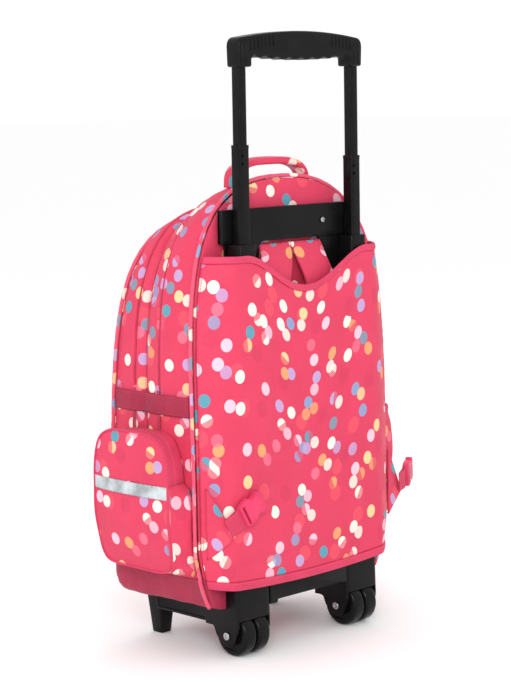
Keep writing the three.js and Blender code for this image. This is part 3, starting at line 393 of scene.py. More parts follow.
def reflective_tape(name):
    graph = Graph(name)
    where = graph.uv()
    grid = graph.math("MAXIMUM", graph.wave(where, 0.0022, "DIAGONAL"), graph.wave(where, 0.0022, "Y"))
    grey = colours().tape_grey
    shine = graph.noise(graph.object_space(), 45, 3)
    colour = graph.mix(graph.fade(shine, 0.35, 0.65), rgba(grey, 0.75), rgba(grey, 1.5))
    colour = graph.mix(graph.math("MULTIPLY", grid, 0.18), colour, rgba(grey, 0.6))
    normal = graph.bump(grid, 0.25, 0.0002, graph.bump(shine, 0.5, 0.004))
    return graph.finish(colour, graph.fade(shine, 0.3, 0.7, 0.22, 0.4), normal, Metallic=0.45)


def moulded_plastic(name, colour, roughness, grain=0.15, scale=900):
    """Moulded plastic with a fine spark texture, scuffs and slightly uneven gloss."""
    graph = Graph(name)
    where = graph.object_space()
    scuffs = graph.noise(where, 130, 5, 0.65)
    drift = graph.noise(where, 35, 2)
    tint = graph.mix(graph.fade(drift, 0.3, 0.7), rgba(colour, 0.85), rgba(colour, 1.35))
    tint = graph.mix(graph.fade(scuffs, 0.62, 0.8, 0.0, 0.25), tint, rgba([c + 0.012 for c in colour]))
    rough = graph.fade(scuffs, 0.35, 0.75, roughness - 0.06, roughness + 0.12)
    normal = graph.bump(graph.noise(where, scale, 2), grain, 0.0002)
    return graph.finish(tint, rough, normal, Specular_IOR_Level=0.13)


def coated_tube(name):
    graph = Graph(name)
    where = graph.object_space()
    stretched = graph.vector("MULTIPLY", where, (1, 1, 0.03))
    brush = graph.noise(stretched, 700, 3)
    haze = graph.noise(where, 60, 3)
    black = colours().tube_black
    tint = graph.mix(graph.fade(haze, 0.35, 0.7), rgba(black), rgba(black, 1.8))
    rough = graph.fade(brush, 0.3, 0.7, 0.2, 0.34)
    normal = graph.bump(brush, 0.05, 0.0001)
    return graph.finish(tint, rough, normal, Metallic=0.1, Specular_IOR_Level=0.12, Coat_Weight=0.06,
                        Coat_Roughness=0.18)


def bare_steel(name):
    graph = Graph(name)
    where = graph.object_space()
    brush = graph.noise(where, 500, 4)
    tint = graph.mix(brush, (0.30, 0.30, 0.31, 1), (0.62, 0.62, 0.63, 1))
    return graph.finish(tint, graph.fade(brush, 0.3, 0.7, 0.25, 0.42), graph.bump(brush, 0.1, 0.0002),
                        Metallic=1.0)


def finishes():
    """Makes each material once and hands them out by name."""
    if FINISHES:
        return FINISHES
    tone = colours()
    FINISHES.update({
        "print_sewn": printed_cloth("printed_cloth_sewn", (0.0024,)),
        "plain_sewn": plain_cloth("plain_pink_sewn", tone.plain_pink, (0.0018,)),
        "plain": plain_cloth("plain_pink_cloth", tone.plain_pink),
        "webbing": plain_cloth("pink_webbing", tone.plain_pink, (0.0024,), 0.0016, 0.1),
        "band": plain_cloth("dark_pink_band", tone.dark_pink, (0.002,), 0.0024, 0.25),
        "base": plain_cloth("dark_pink_base", tone.dark_pink, (0.0035,), 0.0, 0.5, 0.6),
        "piping": printed_cloth("printed_piping", (), tone.piping_pink),
        "zip": zip_cloth("zip_tape"),
        "tape": reflective_tape("reflective_tape"),
        "black": moulded_plastic("black_plastic", tone.plastic_black, 0.34),
        "grip": moulded_plastic("black_grip_plastic", tone.plastic_black, 0.4, 0.3, 700),
        "wheel": moulded_plastic("black_wheel", tone.plastic_black, 0.24, 0.08),
        "buckle": moulded_plastic("pink_buckle", tone.buckle_pink, 0.34, 0.12),
        "tube": coated_tube("coated_tube"),
        "steel": bare_steel("bare_steel"),
    })
    return FINISHES


FINISHES = {}


# Soft pieces: grids of points in millimetres, turned into cloth with a thickness

def lower_share(z):
    return np.interp(z, LOWER_Z, LOWER_SHARE)


def section(table, depth, column):
    return np.interp(depth, table[:, 0], table[:, column])


def back_y(z):
    return 1.3 + 15.7 * np.maximum(0, (np.asarray(z, float) - 160) / 386) ** 2.6


def front_y(z):
    return 152 - 26 * np.maximum(0, (np.asarray(z, float) - SEAM_Z) / (BAG_TOP * 0.9 - SEAM_Z)) ** 1.2


def main_y(depth, z):
    rear = back_y(z) + PANEL + 0.3
    return rear + (MAIN_SEAM_Y - rear) * depth


def front_side_y(depth, z):
    return MAIN_SEAM_Y + 1.2 + (front_y(z) - MAIN_SEAM_Y - 1.2) * depth


def arch_share(z, top, power):
    up = np.clip((np.asarray(z, float) - SPRING_Z) / (top - SPRING_Z), 0, 1)
    return (1 - up ** UP_POWER) ** (1 / power)


def side_x(y, z):
    """Half width of the bag's side wall, for what is sewn on it."""
    rear = back_y(z) + PANEL
    main = section(MAIN_TABLE, np.clip((y - rear) / (MAIN_SEAM_Y - rear), 0, 1), 1)
    front = section(FRONT_TABLE, np.clip((y - MAIN_SEAM_Y) / (front_y(z) - MAIN_SEAM_Y), 0, 1), 1)
    return HALF_WIDTH * lower_share(z) * np.where(y <= MAIN_SEAM_Y, main, front)


def hermite(knots, values, at):
    """A smooth curve through a table of values."""
    knots = np.asarray(knots, float)
    values = np.asarray(values, float)
    slope = np.gradient(values, knots, axis=0)
    at = np.clip(np.asarray(at, float), knots[0], knots[-1])
    index = np.clip(np.searchsorted(knots, at) - 1, 0, len(knots) - 2)
    span = knots[index + 1] - knots[index]
    t = (at - knots[index]) / span
    if values.ndim > 1:
        t = t[..., None]
        span = span[..., None]
    blend_a = (1 + 2 * t) * (1 - t) ** 2
    blend_b = t ** 2 * (3 - 2 * t)
    rise = t * (1 - t) ** 2 * span * slope[index] - t ** 2 * (1 - t) * span * slope[index + 1]
    return blend_a * values[index] + blend_b * values[index + 1] + rise


def even_path(path, count):
    """Spreads count points evenly along a path."""
    path = np.asarray(path, float)
    run = np.concatenate([[0], np.cumsum(np.linalg.norm(np.diff(path, axis=0), axis=1))])
    at = np.linspace(0, run[-1], count)
    return np.stack([np.interp(at, run, path[:, i]) for i in range(path.shape[1])], axis=1)


def arch_path(foot, half_width, top, power, count):
    """Points in x and z up the left side of the bag, over the top and down the right."""
    low = np.linspace(foot, SPRING_Z, 40)
    left_low = np.stack([-lower_share(low) * half_width, low], axis=1)
    angle = np.linspace(0, math.pi / 2, 160)[1:]
    left_high = np.stack([-np.maximum(0, np.cos(angle)) ** (2 / power) * half_width,
                          SPRING_Z + (top - SPRING_Z) * np.sin(angle) ** (2 / UP_POWER)], axis=1)
    left_high[-1, 0] = 0
    left = np.concatenate([left_low, left_high])
    right = left[:-1][::-1] * (-1, 1)
    return even_path(np.concatenate([left, right]), count)


def run_lengths(grid, axis):
    step = np.linalg.norm(np.diff(grid, axis=axis), axis=2)
    start = np.zeros_like(np.take(step, [0], axis=axis))
    return np.cumsum(np.concatenate([start, step], axis=axis), axis=axis)


def outward_normals(grid, inside):
    normal = np.cross(np.gradient(grid, axis=0), np.gradient(grid, axis=1))
    normal /= np.maximum(np.linalg.norm(normal, axis=2, keepdims=True), 1e-9)
    facing = np.sum(normal * (grid - np.asarray(inside, float)))
    return normal if facing > 0 else -normal


def noise_field(grid, scale, seed=0.0):
    """Smooth noise from -1 to 1 at each point; scale is in millimetres, one for each axis."""
    flat = (grid.reshape(-1, 3) / scale + seed).tolist()
    return np.array([noise.noise(p) for p in flat]).reshape(grid.shape[:2])


def ease(value, low, high):
    t = np.clip((value - low) / (high - low), 0, 1)
    return t * t * (3 - 2 * t)


def edge_distance(grid, edges):
    """Distance in millimetres from the named edges of a grid: rows r0, r1 and columns c0, c1."""
    along = run_lengths(grid, 0)
    across = run_lengths(grid, 1)
    far = np.full(grid.shape[:2], 999.0)
    parts = {"r0": along, "r1": along[-1:] - along, "c0": across, "c1": across[:, -1:] - across}
    for name in edges:
        far = np.minimum(far, parts[name])
    return far


def ruffled(grid, inside, depth, size=(38, 38, 38), seed=0.0, hold=None, pucker=0.0, edges=()):
    """Pushes a grid in and out along its normals: soft folds, and gathers along the sewn edges."""
    normal = outward_normals(grid, inside)
    folds = noise_field(grid, np.array(size, float), seed)
    folds += 0.45 * noise_field(grid, np.array(size, float) * 0.42, seed + 7.3)
    push = depth * folds
    if hold is not None:
        push = push * ease(hold, 0, 18)
    if pucker:
        near = edge_distance(grid, edges)
        along = grid[..., 2] + 0.7 * grid[..., 0] + 0.3 * grid[..., 1]
        gather = np.sin(along * 0.55 + 3 * noise_field(grid, np.array((30.0, 30.0, 30.0)), seed + 3))
        push = push + pucker * gather * np.exp(-near / 8) * ease(near, 0, 4)
    return grid + normal * push[..., None]


def to_frame(points):
    return np.asarray(points, float) * MM + np.array(ORIGIN)


def dress(piece, finish, nodes, body=BAG_BODY):
    """Gives a piece its material and its body, and hides the nodes it stands for."""
    piece.data.materials.clear()
    piece.data.materials.append(finishes()[finish])
    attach(piece, body)
    if nodes:
        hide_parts(*nodes)
    return piece


def new_piece(name, points, faces, flat_uv, seam_uv):
    mesh = bpy.data.meshes.new(name)
    mesh.from_pydata(to_frame(points).tolist(), [], [list(map(int, face)) for face in faces])
    for layer_name, table in (("flat", flat_uv), ("seam", seam_uv)):
        layer = mesh.uv_layers.new(name=layer_name)
        layer.data.foreach_set("uv", (np.asarray(table, float) * MM).ravel())
    mesh.validate()
    piece = bpy.data.objects.new(name, mesh)
    bpy.context.scene.collection.objects.link(piece)
    mesh.shade_smooth()
    return piece


def only(piece):
    """Makes one object the active and only selected one."""
    if bpy.context.mode != "OBJECT":
        bpy.ops.object.mode_set(mode="OBJECT")
    bpy.ops.object.select_all(action="DESELECT")
    piece.select_set(True)
    bpy.context.view_layer.objects.active = piece


def apply_all(piece):
    only(piece)
    for modifier in list(piece.modifiers):
        bpy.ops.object.modifier_apply(modifier=modifier.name)
    return piece


def thicken(piece, thickness):
    """Gives cloth its thickness, inwards from its outer face."""
    solid = piece.modifiers.new("thickness", "SOLIDIFY")
    solid.thickness = thickness * MM
    solid.offset = -1
    solid.use_quality_normals = True
    return apply_all(piece)


def grid_faces(rows, columns, wraps):
    faces = []
    last = columns if wraps else columns - 1
    for row in range(rows - 1):
        for column in range(last):
            beyond = (column + 1) % columns
            faces.append((row * columns + column, row * columns + beyond,
                          (row + 1) * columns + beyond, (row + 1) * columns + column))
    return faces


def cloth(name, grid, inside, thickness, seam=None, uv=None, wraps=False, flat_from=9999):
    """Makes a sheet of cloth from a grid: its outer face is the grid, and it faces away from inside."""
    rows, columns = grid.shape[:2]
    faces = np.array(grid_faces(rows, columns, wraps))
    corners = grid.reshape(-1, 3)
    centre = corners[faces].mean(axis=1)
    first_diagonal = corners[faces[:, 2]] - corners[faces[:, 0]]
    turn = np.cross(first_diagonal, corners[faces[:, 3]] - corners[faces[:, 1]])
    flip = np.sum(turn * (centre - np.asarray(inside, float))) < 0
    if uv is None:
        middle = columns // 2
        across = run_lengths(grid, 1)
        along = run_lengths(grid, 0)[:, middle:middle + 1]
        uv = np.stack([across - across[:, middle:middle + 1], along + 0 * across], axis=2)
    if wraps:
        close = uv[:, :1] + np.array((uv[0, -1, 0] + (uv[0, -1, 0] - uv[0, -2, 0]) - uv[0, 0, 0], 0))
        close[flat_from:] = uv[flat_from:, :1]
        uv = np.concatenate([uv, close], axis=1)
    if seam is None:
        seam = np.full(grid.shape[:2], 900.0)
    if wraps:
        seam = np.concatenate([seam, seam[:, :1]], axis=1)
    wide = columns + 1 if wraps else columns
    loops = np.array(grid_faces(rows, wide, False))
    flat_uv = uv.reshape(-1, 2)
    seam_uv = np.stack([flat_uv[:, 0] + flat_uv[:, 1], seam.reshape(-1)], axis=1)
    if flip:
        faces = faces[:, ::-1]
        loops = loops[:, ::-1]
    piece = new_piece(name, corners, faces, flat_uv[loops].reshape(-1, 2), seam_uv[loops].reshape(-1, 2))
    bench = bmesh.new()
    bench.from_mesh(piece.data)
    bmesh.ops.remove_doubles(bench, verts=bench.verts, dist=0.00002)
    bmesh.ops.dissolve_degenerate(bench, edges=bench.edges, dist=0.00001)
    bench.to_mesh(piece.data)
    bench.free()
    if thickness:
        thicken(piece, thickness)
    return piece


def sewn_sheet(grid, height=max):
    """Works out what a piece of cloth measures when laid flat, and neither keeps nor returns it.

    The cut's length is the longest run down the grid, or the shortest where both of its sides slant.
    """
    length = float(height(run_lengths(grid, 0)[-1])) * MM


def tube_along(name, path, radius, segments=14, squash=(1.0, 1.0)):
    """Sweeps a round or flattened section along a path and closes both ends."""
    path = np.asarray(path, float)
    heading = np.gradient(path, axis=0)
    heading /= np.linalg.norm(heading, axis=1, keepdims=True)
    side = np.cross(heading[0], (0, 1, 0.01))
    side /= np.linalg.norm(side)
    sides = []
    for step in heading:
        side = side - step * np.dot(side, step)
        side /= np.linalg.norm(side)
        sides.append(side)
    sides = np.array(sides)
    ups = np.cross(heading, sides)
    angle = np.linspace(0, 2 * math.pi, segments, endpoint=False)
    size = np.broadcast_to(np.asarray(radius, float), (len(path),))[:, None, None]
    ring = (sides[:, None] * np.cos(angle)[None, :, None] * squash[0]
            + ups[:, None] * np.sin(angle)[None, :, None] * squash[1])
    grid = path[:, None] + ring * size
    near = path[:1, None] + ring[:1] * 0.02
    far = path[-1:, None] + ring[-1:] * 0.02
    grid = np.concatenate([near, grid, far])
    along = np.concatenate([[0], np.cumsum(np.linalg.norm(np.diff(path, axis=0), axis=1))])
    along = np.concatenate([[along[0] - 1], along, [along[-1] + 1]])
    turn = angle * float(np.mean(np.asarray(radius)))
    uv = np.stack(np.broadcast_arrays(along[:, None], turn[None, :]), axis=2)
    rows, columns = grid.shape[:2]
    faces = grid_faces(rows, columns, True)
    girth = 2 * math.pi * float(np.mean(np.asarray(radius)))
    wide_uv = np.concatenate([uv, uv[:, :1] + (0, girth)], axis=1)
    loops = np.array(grid_faces(rows, columns + 1, False))
    flat_uv = wide_uv.reshape(-1, 2)
    faces = faces + [tuple(range(columns))[::-1], tuple(range((rows - 1) * columns, rows * columns))]
    end_uv = np.concatenate([flat_uv[:columns][::-1], flat_uv[-columns - 1:-1]])
    table = np.concatenate([flat_uv[loops].reshape(-1, 2), end_uv])
    seam_uv = np.stack([table[:, 0], np.full(len(table), 900.0)], axis=1)
    middle = grid.reshape(-1, 3)
    first = np.array(faces[columns * (rows // 2)])
    turn = np.cross(middle[first[2]] - middle[first[0]], middle[first[3]] - middle[first[1]])
    if np.dot(turn, middle[first].mean(axis=0) - path[rows // 2 - 1]) < 0:
        piece = new_piece(name, middle, faces, table, seam_uv)
        piece.data.flip_normals()
        return piece
    return new_piece(name, middle, faces, table, seam_uv)


def gusset_grid(table, y_at, foot, zip_from, zip_to, columns):
    """The band over both sides and the top of one compartment, with a groove where its zip runs."""
    ends = [zip_from - 0.035, zip_from - 0.012, zip_from, zip_from + 0.006, zip_to - 0.006, zip_to,
            zip_to + 0.012, zip_to + 0.035]
    depths = np.unique(np.concatenate([np.linspace(0, 1, 25), ends]))
    rows = []
    for depth in depths:
        half = HALF_WIDTH * section(table, depth, 1)
        path = arch_path(foot, half, BAG_TOP * section(table, depth, 2), section(table, depth, 3), columns)
        rows.append(np.stack([path[:, 0], y_at(depth, path[:, 1]), path[:, 1]], axis=1))
    grid = np.array(rows)
    deep = np.broadcast_to(depths[:, None], grid.shape[:2])
    return grid, deep


def zip_shape(grid, deep, zip_from, zip_to, length):
    """Groove and raised lips of the zip, in millimetres, and the distance from its edges."""
    runs = ease(grid[..., 2], ZIP_END_Z - 3, ZIP_END_Z + 3)
    outside = np.maximum(zip_from - deep, deep - zip_to) * length
    groove = -1.5 * ease(-outside, -0.2, 0.5)
    lip = 0.7 * np.exp(-((outside - 1.6) / 1.5) ** 2)
    away = np.where((runs > 0.5) & (outside > 0), outside, 900.0)
    return (groove + lip) * runs, away


def make_gusset(name, table, y_at, zip_from, zip_to, inside, seed):
    length = 76.0 if table is MAIN_TABLE else 54.0
    grid, deep = gusset_grid(table, y_at, SHELL_FOOT, zip_from, zip_to, 360)
    depth = sizes().wrinkle_depth / MM
    hold = edge_distance(grid, ("r0", "r1", "c0", "c1"))
    shape, away = zip_shape(grid, deep, zip_from, zip_to, length)
    calm = np.minimum(hold, np.minimum(away, 30) + 3)
    folded = ruffled(grid, inside, depth * 1.25, (24, 34, 78), seed, calm, 0.55, ("r0", "r1"))
    folded = folded + outward_normals(grid, inside) * shape[..., None]
    uv = np.stack([run_lengths(grid, 1), deep * length], axis=2)
    seam = np.minimum(hold, away)
    return cloth(name, folded, inside, CLOTH * 0.8, seam, uv), grid


def panel_grid(half_width, top, power, y_at, rows, columns):
    """A sheet that fills the arch: rows from the foot to the top, columns from left to right."""
    path = arch_path(SHELL_FOOT, half_width, top, power, rows * 2 - 1)[:rows]
    across = np.sin(np.linspace(-1, 1, columns) * math.pi / 2 * 0.86) / math.sin(math.pi / 2 * 0.86)
    z = np.broadcast_to(path[:, 1:2], (rows, columns))
    x = -path[:, :1] * across[None, :]
    return np.stack([x, y_at(across[None, :] + 0 * x, z), z], axis=2)


def panel_seam(grid):
    """Distance from the arch's edge, measured across and up."""
    side = edge_distance(grid, ("c0", "c1"))
    top = grid[-1, 0, 2] - grid[..., 2]
    return np.minimum(side, np.maximum(top, 0) + 0 * side)


# Hard pieces: primitives shaped in edit mode, in millimetres from the axles

def edit(piece, kind):
    only(piece)
    bpy.ops.object.mode_set(mode="EDIT")
    bpy.ops.mesh.select_mode(type=kind)
    bpy.ops.mesh.select_all(action="DESELECT")
    return bmesh.from_edit_mesh(piece.data)


def leave_edit(piece):
    bpy.ops.object.mode_set(mode="OBJECT")
    return piece


def settle(piece, name=None):
    """Puts the place of a new object into its mesh."""
    only(piece)
    bpy.ops.object.transform_apply(location=True, rotation=True, scale=True)
    if name:
        piece.name = name
        piece.data.name = name
    return piece


def block(name, low, high):
    low = spot(*low)
    high = spot(*high)
    bpy.ops.mesh.primitive_cube_add(size=1, location=(low + high) / 2, scale=high - low)
    return settle(bpy.context.active_object, name)


def rod(name, start, end, radius, sides=32):
    """A cylinder between two points that lie along one axis."""
    start = Vector(start)
    end = Vector(end)
    heading = (end - start).normalized()
    turn = heading.to_track_quat("Z", "Y").to_euler()
    bpy.ops.mesh.primitive_cylinder_add(
        vertices=sides, radius=radius * MM, depth=(end - start).length * MM,
        location=spot(*((start + end) / 2)), rotation=turn)
    return settle(bpy.context.active_object, name)


def extruded(name, outline, place, push):
    """Draws an outline from a circle's corners and extrudes it; place turns (u, v) into x, y, z."""
    bpy.ops.mesh.primitive_circle_add(vertices=len(outline), radius=1, fill_type="NGON")
    piece = bpy.context.active_object
    settle(piece, name)
    for vertex, (u, v) in zip(piece.data.vertices, outline):
        vertex.co = spot(*place(u, v))
    edit(piece, "FACE")
    bpy.ops.mesh.select_all(action="SELECT")
    bpy.ops.mesh.extrude_region_move(TRANSFORM_OT_translate={"value": Vector(push) * MM})
    bpy.ops.mesh.select_all(action="SELECT")
    bpy.ops.mesh.normals_make_consistent(inside=False)
    return leave_edit(piece)


def bevel_edges(piece, width, segments, chosen):
    """Bevels the edges for which chosen(middle, heading) holds, both measured from the axles."""
    bench = edit(piece, "EDGE")
    for edge in bench.edges:
        a, b = [(vertex.co - ORIGIN) / MM for vertex in edge.verts]
        edge.select_set(chosen((a + b) / 2, (b - a).normalized()))
    bmesh.update_edit_mesh(piece.data)
    bpy.ops.mesh.bevel(offset=width * MM, segments=segments, affect="EDGES")
    return leave_edit(piece)


def select_faces(piece, chosen):
    bench = edit(piece, "FACE")
    for face in bench.faces:
        face.select_set(chosen((face.calc_center_median() - ORIGIN) / MM, face.normal))
    bmesh.update_edit_mesh(piece.data)


def rounded(piece, width, segments=3, angle=0.6):
    bevel = piece.modifiers.new("edges", "BEVEL")
    bevel.width = width * MM
    bevel.segments = segments
    bevel.limit_method = "ANGLE"
    bevel.angle_limit = angle
    bevel.use_clamp_overlap = True
    return apply_all(piece)


def carve(piece, *tools):
    """Cuts tools out of a piece and removes them."""
    for tool in tools:
        hole = piece.modifiers.new("hole", "BOOLEAN")
        hole.operation = "DIFFERENCE"
        hole.solver = "EXACT"
        hole.object = tool
        apply_all(piece)
        bpy.data.objects.remove(tool)
    return piece


def joined(name, *pieces):
    only(pieces[0])
    for piece in pieces:
        piece.select_set(True)
    bpy.context.view_layer.objects.active = pieces[0]
    bpy.ops.object.join()
    pieces[0].name = name
    pieces[0].data.name = name
    return pieces[0]


def smooth_edges(piece, angle=0.55):
    only(piece)
    bpy.ops.object.shade_smooth_by_angle(angle=angle)
    return piece


def square_tube(name, x, low, high, size, wall, flute=0.0):
    """A square tube with rounded corners, open at both ends, with a shallow flute down each face."""
    half = size / 2
    tube = block(name, (x - half, TUBE_Y - half, low), (x + half, TUBE_Y + half, high))
    bevel_edges(tube, size * 0.2, 5, lambda middle, heading: abs(heading.z) > 0.9)
    if flute:
        select_faces(tube, lambda middle, normal: max(abs(normal.x), abs(normal.y)) > 0.99)
        bpy.ops.mesh.inset(thickness=flute * MM, depth=0, use_individual=True)
        bpy.ops.mesh.inset(thickness=0.5 * MM, depth=-0.6 * MM, use_individual=True)
        leave_edit(tube)
    hollow = half - wall
    bore = block("hole", (x - hollow, TUBE_Y - hollow, low - 2), (x + hollow, TUBE_Y + hollow, high + 2))
    bevel_edges(bore, hollow * 0.3, 4, lambda middle, heading: abs(heading.z) > 0.9)
    carve(tube, bore)
    return smooth_edges(tube, 0.7)


TUBE_X = 92
TUBE_Y = -8.2
GRIP_HALF = 101.5
GRIP_TOP = 714.5
GRIP_END = 706
GRIP_LEG_END = 674
MIDDLE_TUBE_LENGTH = 370
MIDDLE_TUBE_TOPS = (("left", -1, 587.2), ("right", 1, 569.5))


class BACKPACK_OT_handle(bpy.types.Operator):
    """Makes the square tubes of the pull handle and rides each stage on its own body"""

    bl_idname = "backpack.handle"
    bl_label = "Handle Tubes"

    def execute(self, context):
        for name, side, top in MIDDLE_TUBE_TOPS:
            x = side * TUBE_X
            fixed = square_tube(f"fixed_tube_{name}_coated", x, 86.5, 473.4, 18.3, 1)
            dress(fixed, "tube", [f"fixed_tube_{name}"])
            middle = square_tube(f"middle_tube_{name}_coated", x, top - MIDDLE_TUBE_LENGTH, top, 15.6, 1.2)
            holes = [rod("hole", (x - 4, TUBE_Y - 12, top - drop), (x - 4, TUBE_Y - 6, top - drop), 1.9, 20)
                     for drop in (12, 21)]
            carve(middle, *holes)
            dress(middle, "tube", [f"middle_tube_{name}"], f"middle_stage_{name}")
            lip = block(f"middle_tube_lip_{name}", (x - 7.9, TUBE_Y - 7.9, top - 4),
                        (x + 7.9, TUBE_Y + 7.9, top + 0.1))
            bevel_edges(lip, 3, 4, lambda middle, heading: abs(heading.z) > 0.9)
            carve(lip, block("hole", (x - 6.4, TUBE_Y - 6.4, top - 6), (x + 6.4, TUBE_Y + 6.4, top + 3)))
            dress(smooth_edges(rounded(lip, 0.3, 2)), "black", [], f"middle_stage_{name}")
            inner = square_tube(f"inner_tube_{name}_coated", x, 300, 699, 12.5, 1.2, 3.4)
            dress(inner, "tube", [f"inner_tube_{name}"], "grip_stage")
        return {"FINISHED"}


def grip_outline():
    """The grip seen from behind: legs, rounded shoulders, arched top and finger waves underneath."""
    leg_out = 100.65
    leg_in = 80.45
    points = [(-leg_out, GRIP_LEG_END), (-GRIP_HALF, GRIP_END - 9), (-GRIP_HALF + 0.7, GRIP_END - 4.5),
              (-GRIP_HALF + 3, GRIP_END - 1)]
    for x in np.linspace(-GRIP_HALF + 6.5, GRIP_HALF - 6.5, 25):
        points.append((x, GRIP_END + 1 + (GRIP_TOP - GRIP_END - 1) * (1 - (x / 95) ** 2)))
    points += [(GRIP_HALF - 3, GRIP_END - 1), (GRIP_HALF - 0.7, GRIP_END - 4.5), (GRIP_HALF, GRIP_END - 9),
               (leg_out, GRIP_LEG_END), (leg_in, GRIP_LEG_END), (leg_in, 683.2)]
    for share in np.linspace(1, -1, 65):
        x = share * (leg_in - 5)
        under = 686.5 - 4 * (1 - (x / leg_in) ** 2)
        points.append((x, under + 1.0 * math.cos(2 * math.pi * 8 * (1 - share) / 2)))
    return points + [(-leg_in, 683.2), (-leg_in, GRIP_LEG_END)]


class BACKPACK_OT_grip(bpy.types.Operator):
    """Moulds the grip with its finger waves, sockets and ribs"""

    bl_idname = "backpack.grip"
    bl_label = "Grip"

    def execute(self, context):
        grip = extruded("grip_moulding", grip_outline(), lambda u, v: (u, TUBE_Y - 10.5, v), (0, 21, 0))
        rounded(grip, 2.6, 4, 0.9)
        sockets = [block("hole", (x - 6.6, TUBE_Y - 6.6, 670), (x + 6.6, TUBE_Y + 6.6, 699))
                   for x in (-TUBE_X, TUBE_X)]
        carve(grip, *sockets)
        ribs = []
        for side, count in ((-1, 7), (1, 6)):
            first = side * (GRIP_HALF - 20)
            for index in range(count):
                x = first - side * index * 6
                z = GRIP_END - 9 + (GRIP_TOP - GRIP_END) * (1 - (x / 95) ** 2)
                rib = block("rib", (x - 1.1, TUBE_Y - 11.4, z - 6.5), (x + 1.1, TUBE_Y - 5, z + 6.5))
                ribs.append(rounded(rib, 0.8, 3))
        for x in (-95, -88.5, 95, 88.5):
            ridge = rod("rib", (x, TUBE_Y - 9.6, 676), (x, TUBE_Y - 9.6, 700), 1.9, 16)
            ribs.append(rounded(ridge, 1.2, 3))
        grip = joined("grip_moulding", grip, *ribs)
        dress(smooth_edges(grip, 0.6), "grip", ["grip"], "grip_stage")
        return {"FINISHED"}


class BACKPACK_OT_bracket(bpy.types.Operator):
    """Moulds the collars round the tubes and the plate between them, with its screw"""

    bl_idname = "backpack.bracket"
    bl_label = "Bracket"

    def execute(self, context):
        for name, side in (("left", -1), ("right", 1)):
            x = side * TUBE_X
            collar = block(f"collar_{name}_moulding", (x - 12.5, -19.2, 429.5), (x + 12.5, 4, 475.5))
            bevel_edges(collar, 3, 4, lambda middle, heading: abs(heading.z) > 0.9)
            rounded(collar, 0.9, 3, 0.9)
            carve(collar, block("hole", (x - 9.4, TUBE_Y - 9.4, 425), (x + 9.4, TUBE_Y + 9.4, 473.7)),
                  block("hole", (x - 8.3, TUBE_Y - 8.3, 470), (x + 8.3, TUBE_Y + 8.3, 480)))
            dress(smooth_edges(collar), "black", [f"collar_{name}"])
        outline = [(-114, 476), (-106, 476), (-106, 434), (-52, 434), (-52, 470), (-46, 476),
                   (46, 476), (52, 470), (52, 434), (106, 434), (106, 476), (114, 476),
                   (114, 514.5), (-114, 514.5)]
        plate = extruded("bracket_plate_moulding", outline, lambda u, v: (u, 4.4, v), (0, 2.8, 0))
        bevel_edges(plate, 4, 4, lambda middle, heading: abs(heading.y) > 0.9 and middle.z < 440)
        front = block("bracket_face", (-114, 1.2, 476), (114, 9, 514.5))
        bevel_edges(front, 2.4, 4, lambda middle, heading: abs(heading.z) > 0.9)
        rounded(front, 1.0, 3, 0.9)
        carve(front, rod("hole", (50, -2, 495.2), (50, 2.2, 495.2), 4.4, 28))
        plate = joined("bracket_plate_moulding", rounded(plate, 0.5, 2, 0.9), front)
        dress(smooth_edges(plate), "black", ["bracket_plate"])
        screw = rod("bracket_screw_head", (50, -0.7, 495.2), (50, 0.9, 495.2), 3.2, 32)
        rounded(screw, 0.6, 3, 0.9)
        carve(screw, block("hole", (47.6, -2, 494.7), (52.4, 0.1, 495.7)),
              block("hole", (49.5, -2, 492.8), (50.5, 0.1, 497.6)))
        dress(smooth_edges(screw), "steel", ["bracket_screw"])
        return {"FINISHED"}


def housing_outline():
    """Side view of a wheel housing: y and z."""
    points = [(-18.4, 86), (-18.4, 39), (-17, 31), (-12, 20)]
    for angle in np.linspace(-2.7, -0.55, 14):
        points.append((13 * math.cos(angle), 25 + 13 * math.sin(angle)))
    return points + [(18, 24), (22, 33), (25, 34.5), (36, 34.5), (36, 57.2), (1, 57.2), (1, 86)]


AXLE_Z = 25
WHEEL_RADIUS = 25
WHEEL_HALF_WIDTH = 9.5
WHEEL_PLACES = (("outer", 103), ("inner", 81))
HOUSING_NEAR = 65.5
HOUSING_FAR = 118.5
HOUSING_REAR = -18.4
HOUSING_MIDDLE = 92
PIN_HALF = 27.2


def wheel_shape(name, x):
    """A wheel turned about the axle, with a rounded tread and a stepped hub face on both sides."""
    wheel = rod(name, (x - WHEEL_HALF_WIDTH, 0, AXLE_Z), (x + WHEEL_HALF_WIDTH, 0, AXLE_Z), WHEEL_RADIUS, 64)
    bevel_edges(wheel, 4.5, 5, lambda middle, heading: abs(abs(middle.x - x) - WHEEL_HALF_WIDTH) < 0.01)
    for side in (-1, 1):
        select_faces(wheel, lambda middle, normal: normal.x * side > 0.9
                     and math.hypot(middle.y, middle.z - AXLE_Z) < 3)
        bpy.ops.mesh.inset(thickness=2.2 * MM)
        bpy.ops.mesh.inset(thickness=0.8 * MM, depth=-1.6 * MM)
        bpy.ops.mesh.inset(thickness=9.5 * MM)
        bpy.ops.mesh.inset(thickness=0.8 * MM, depth=1.2 * MM)
        leave_edit(wheel)
    return smooth_edges(wheel, 0.6)


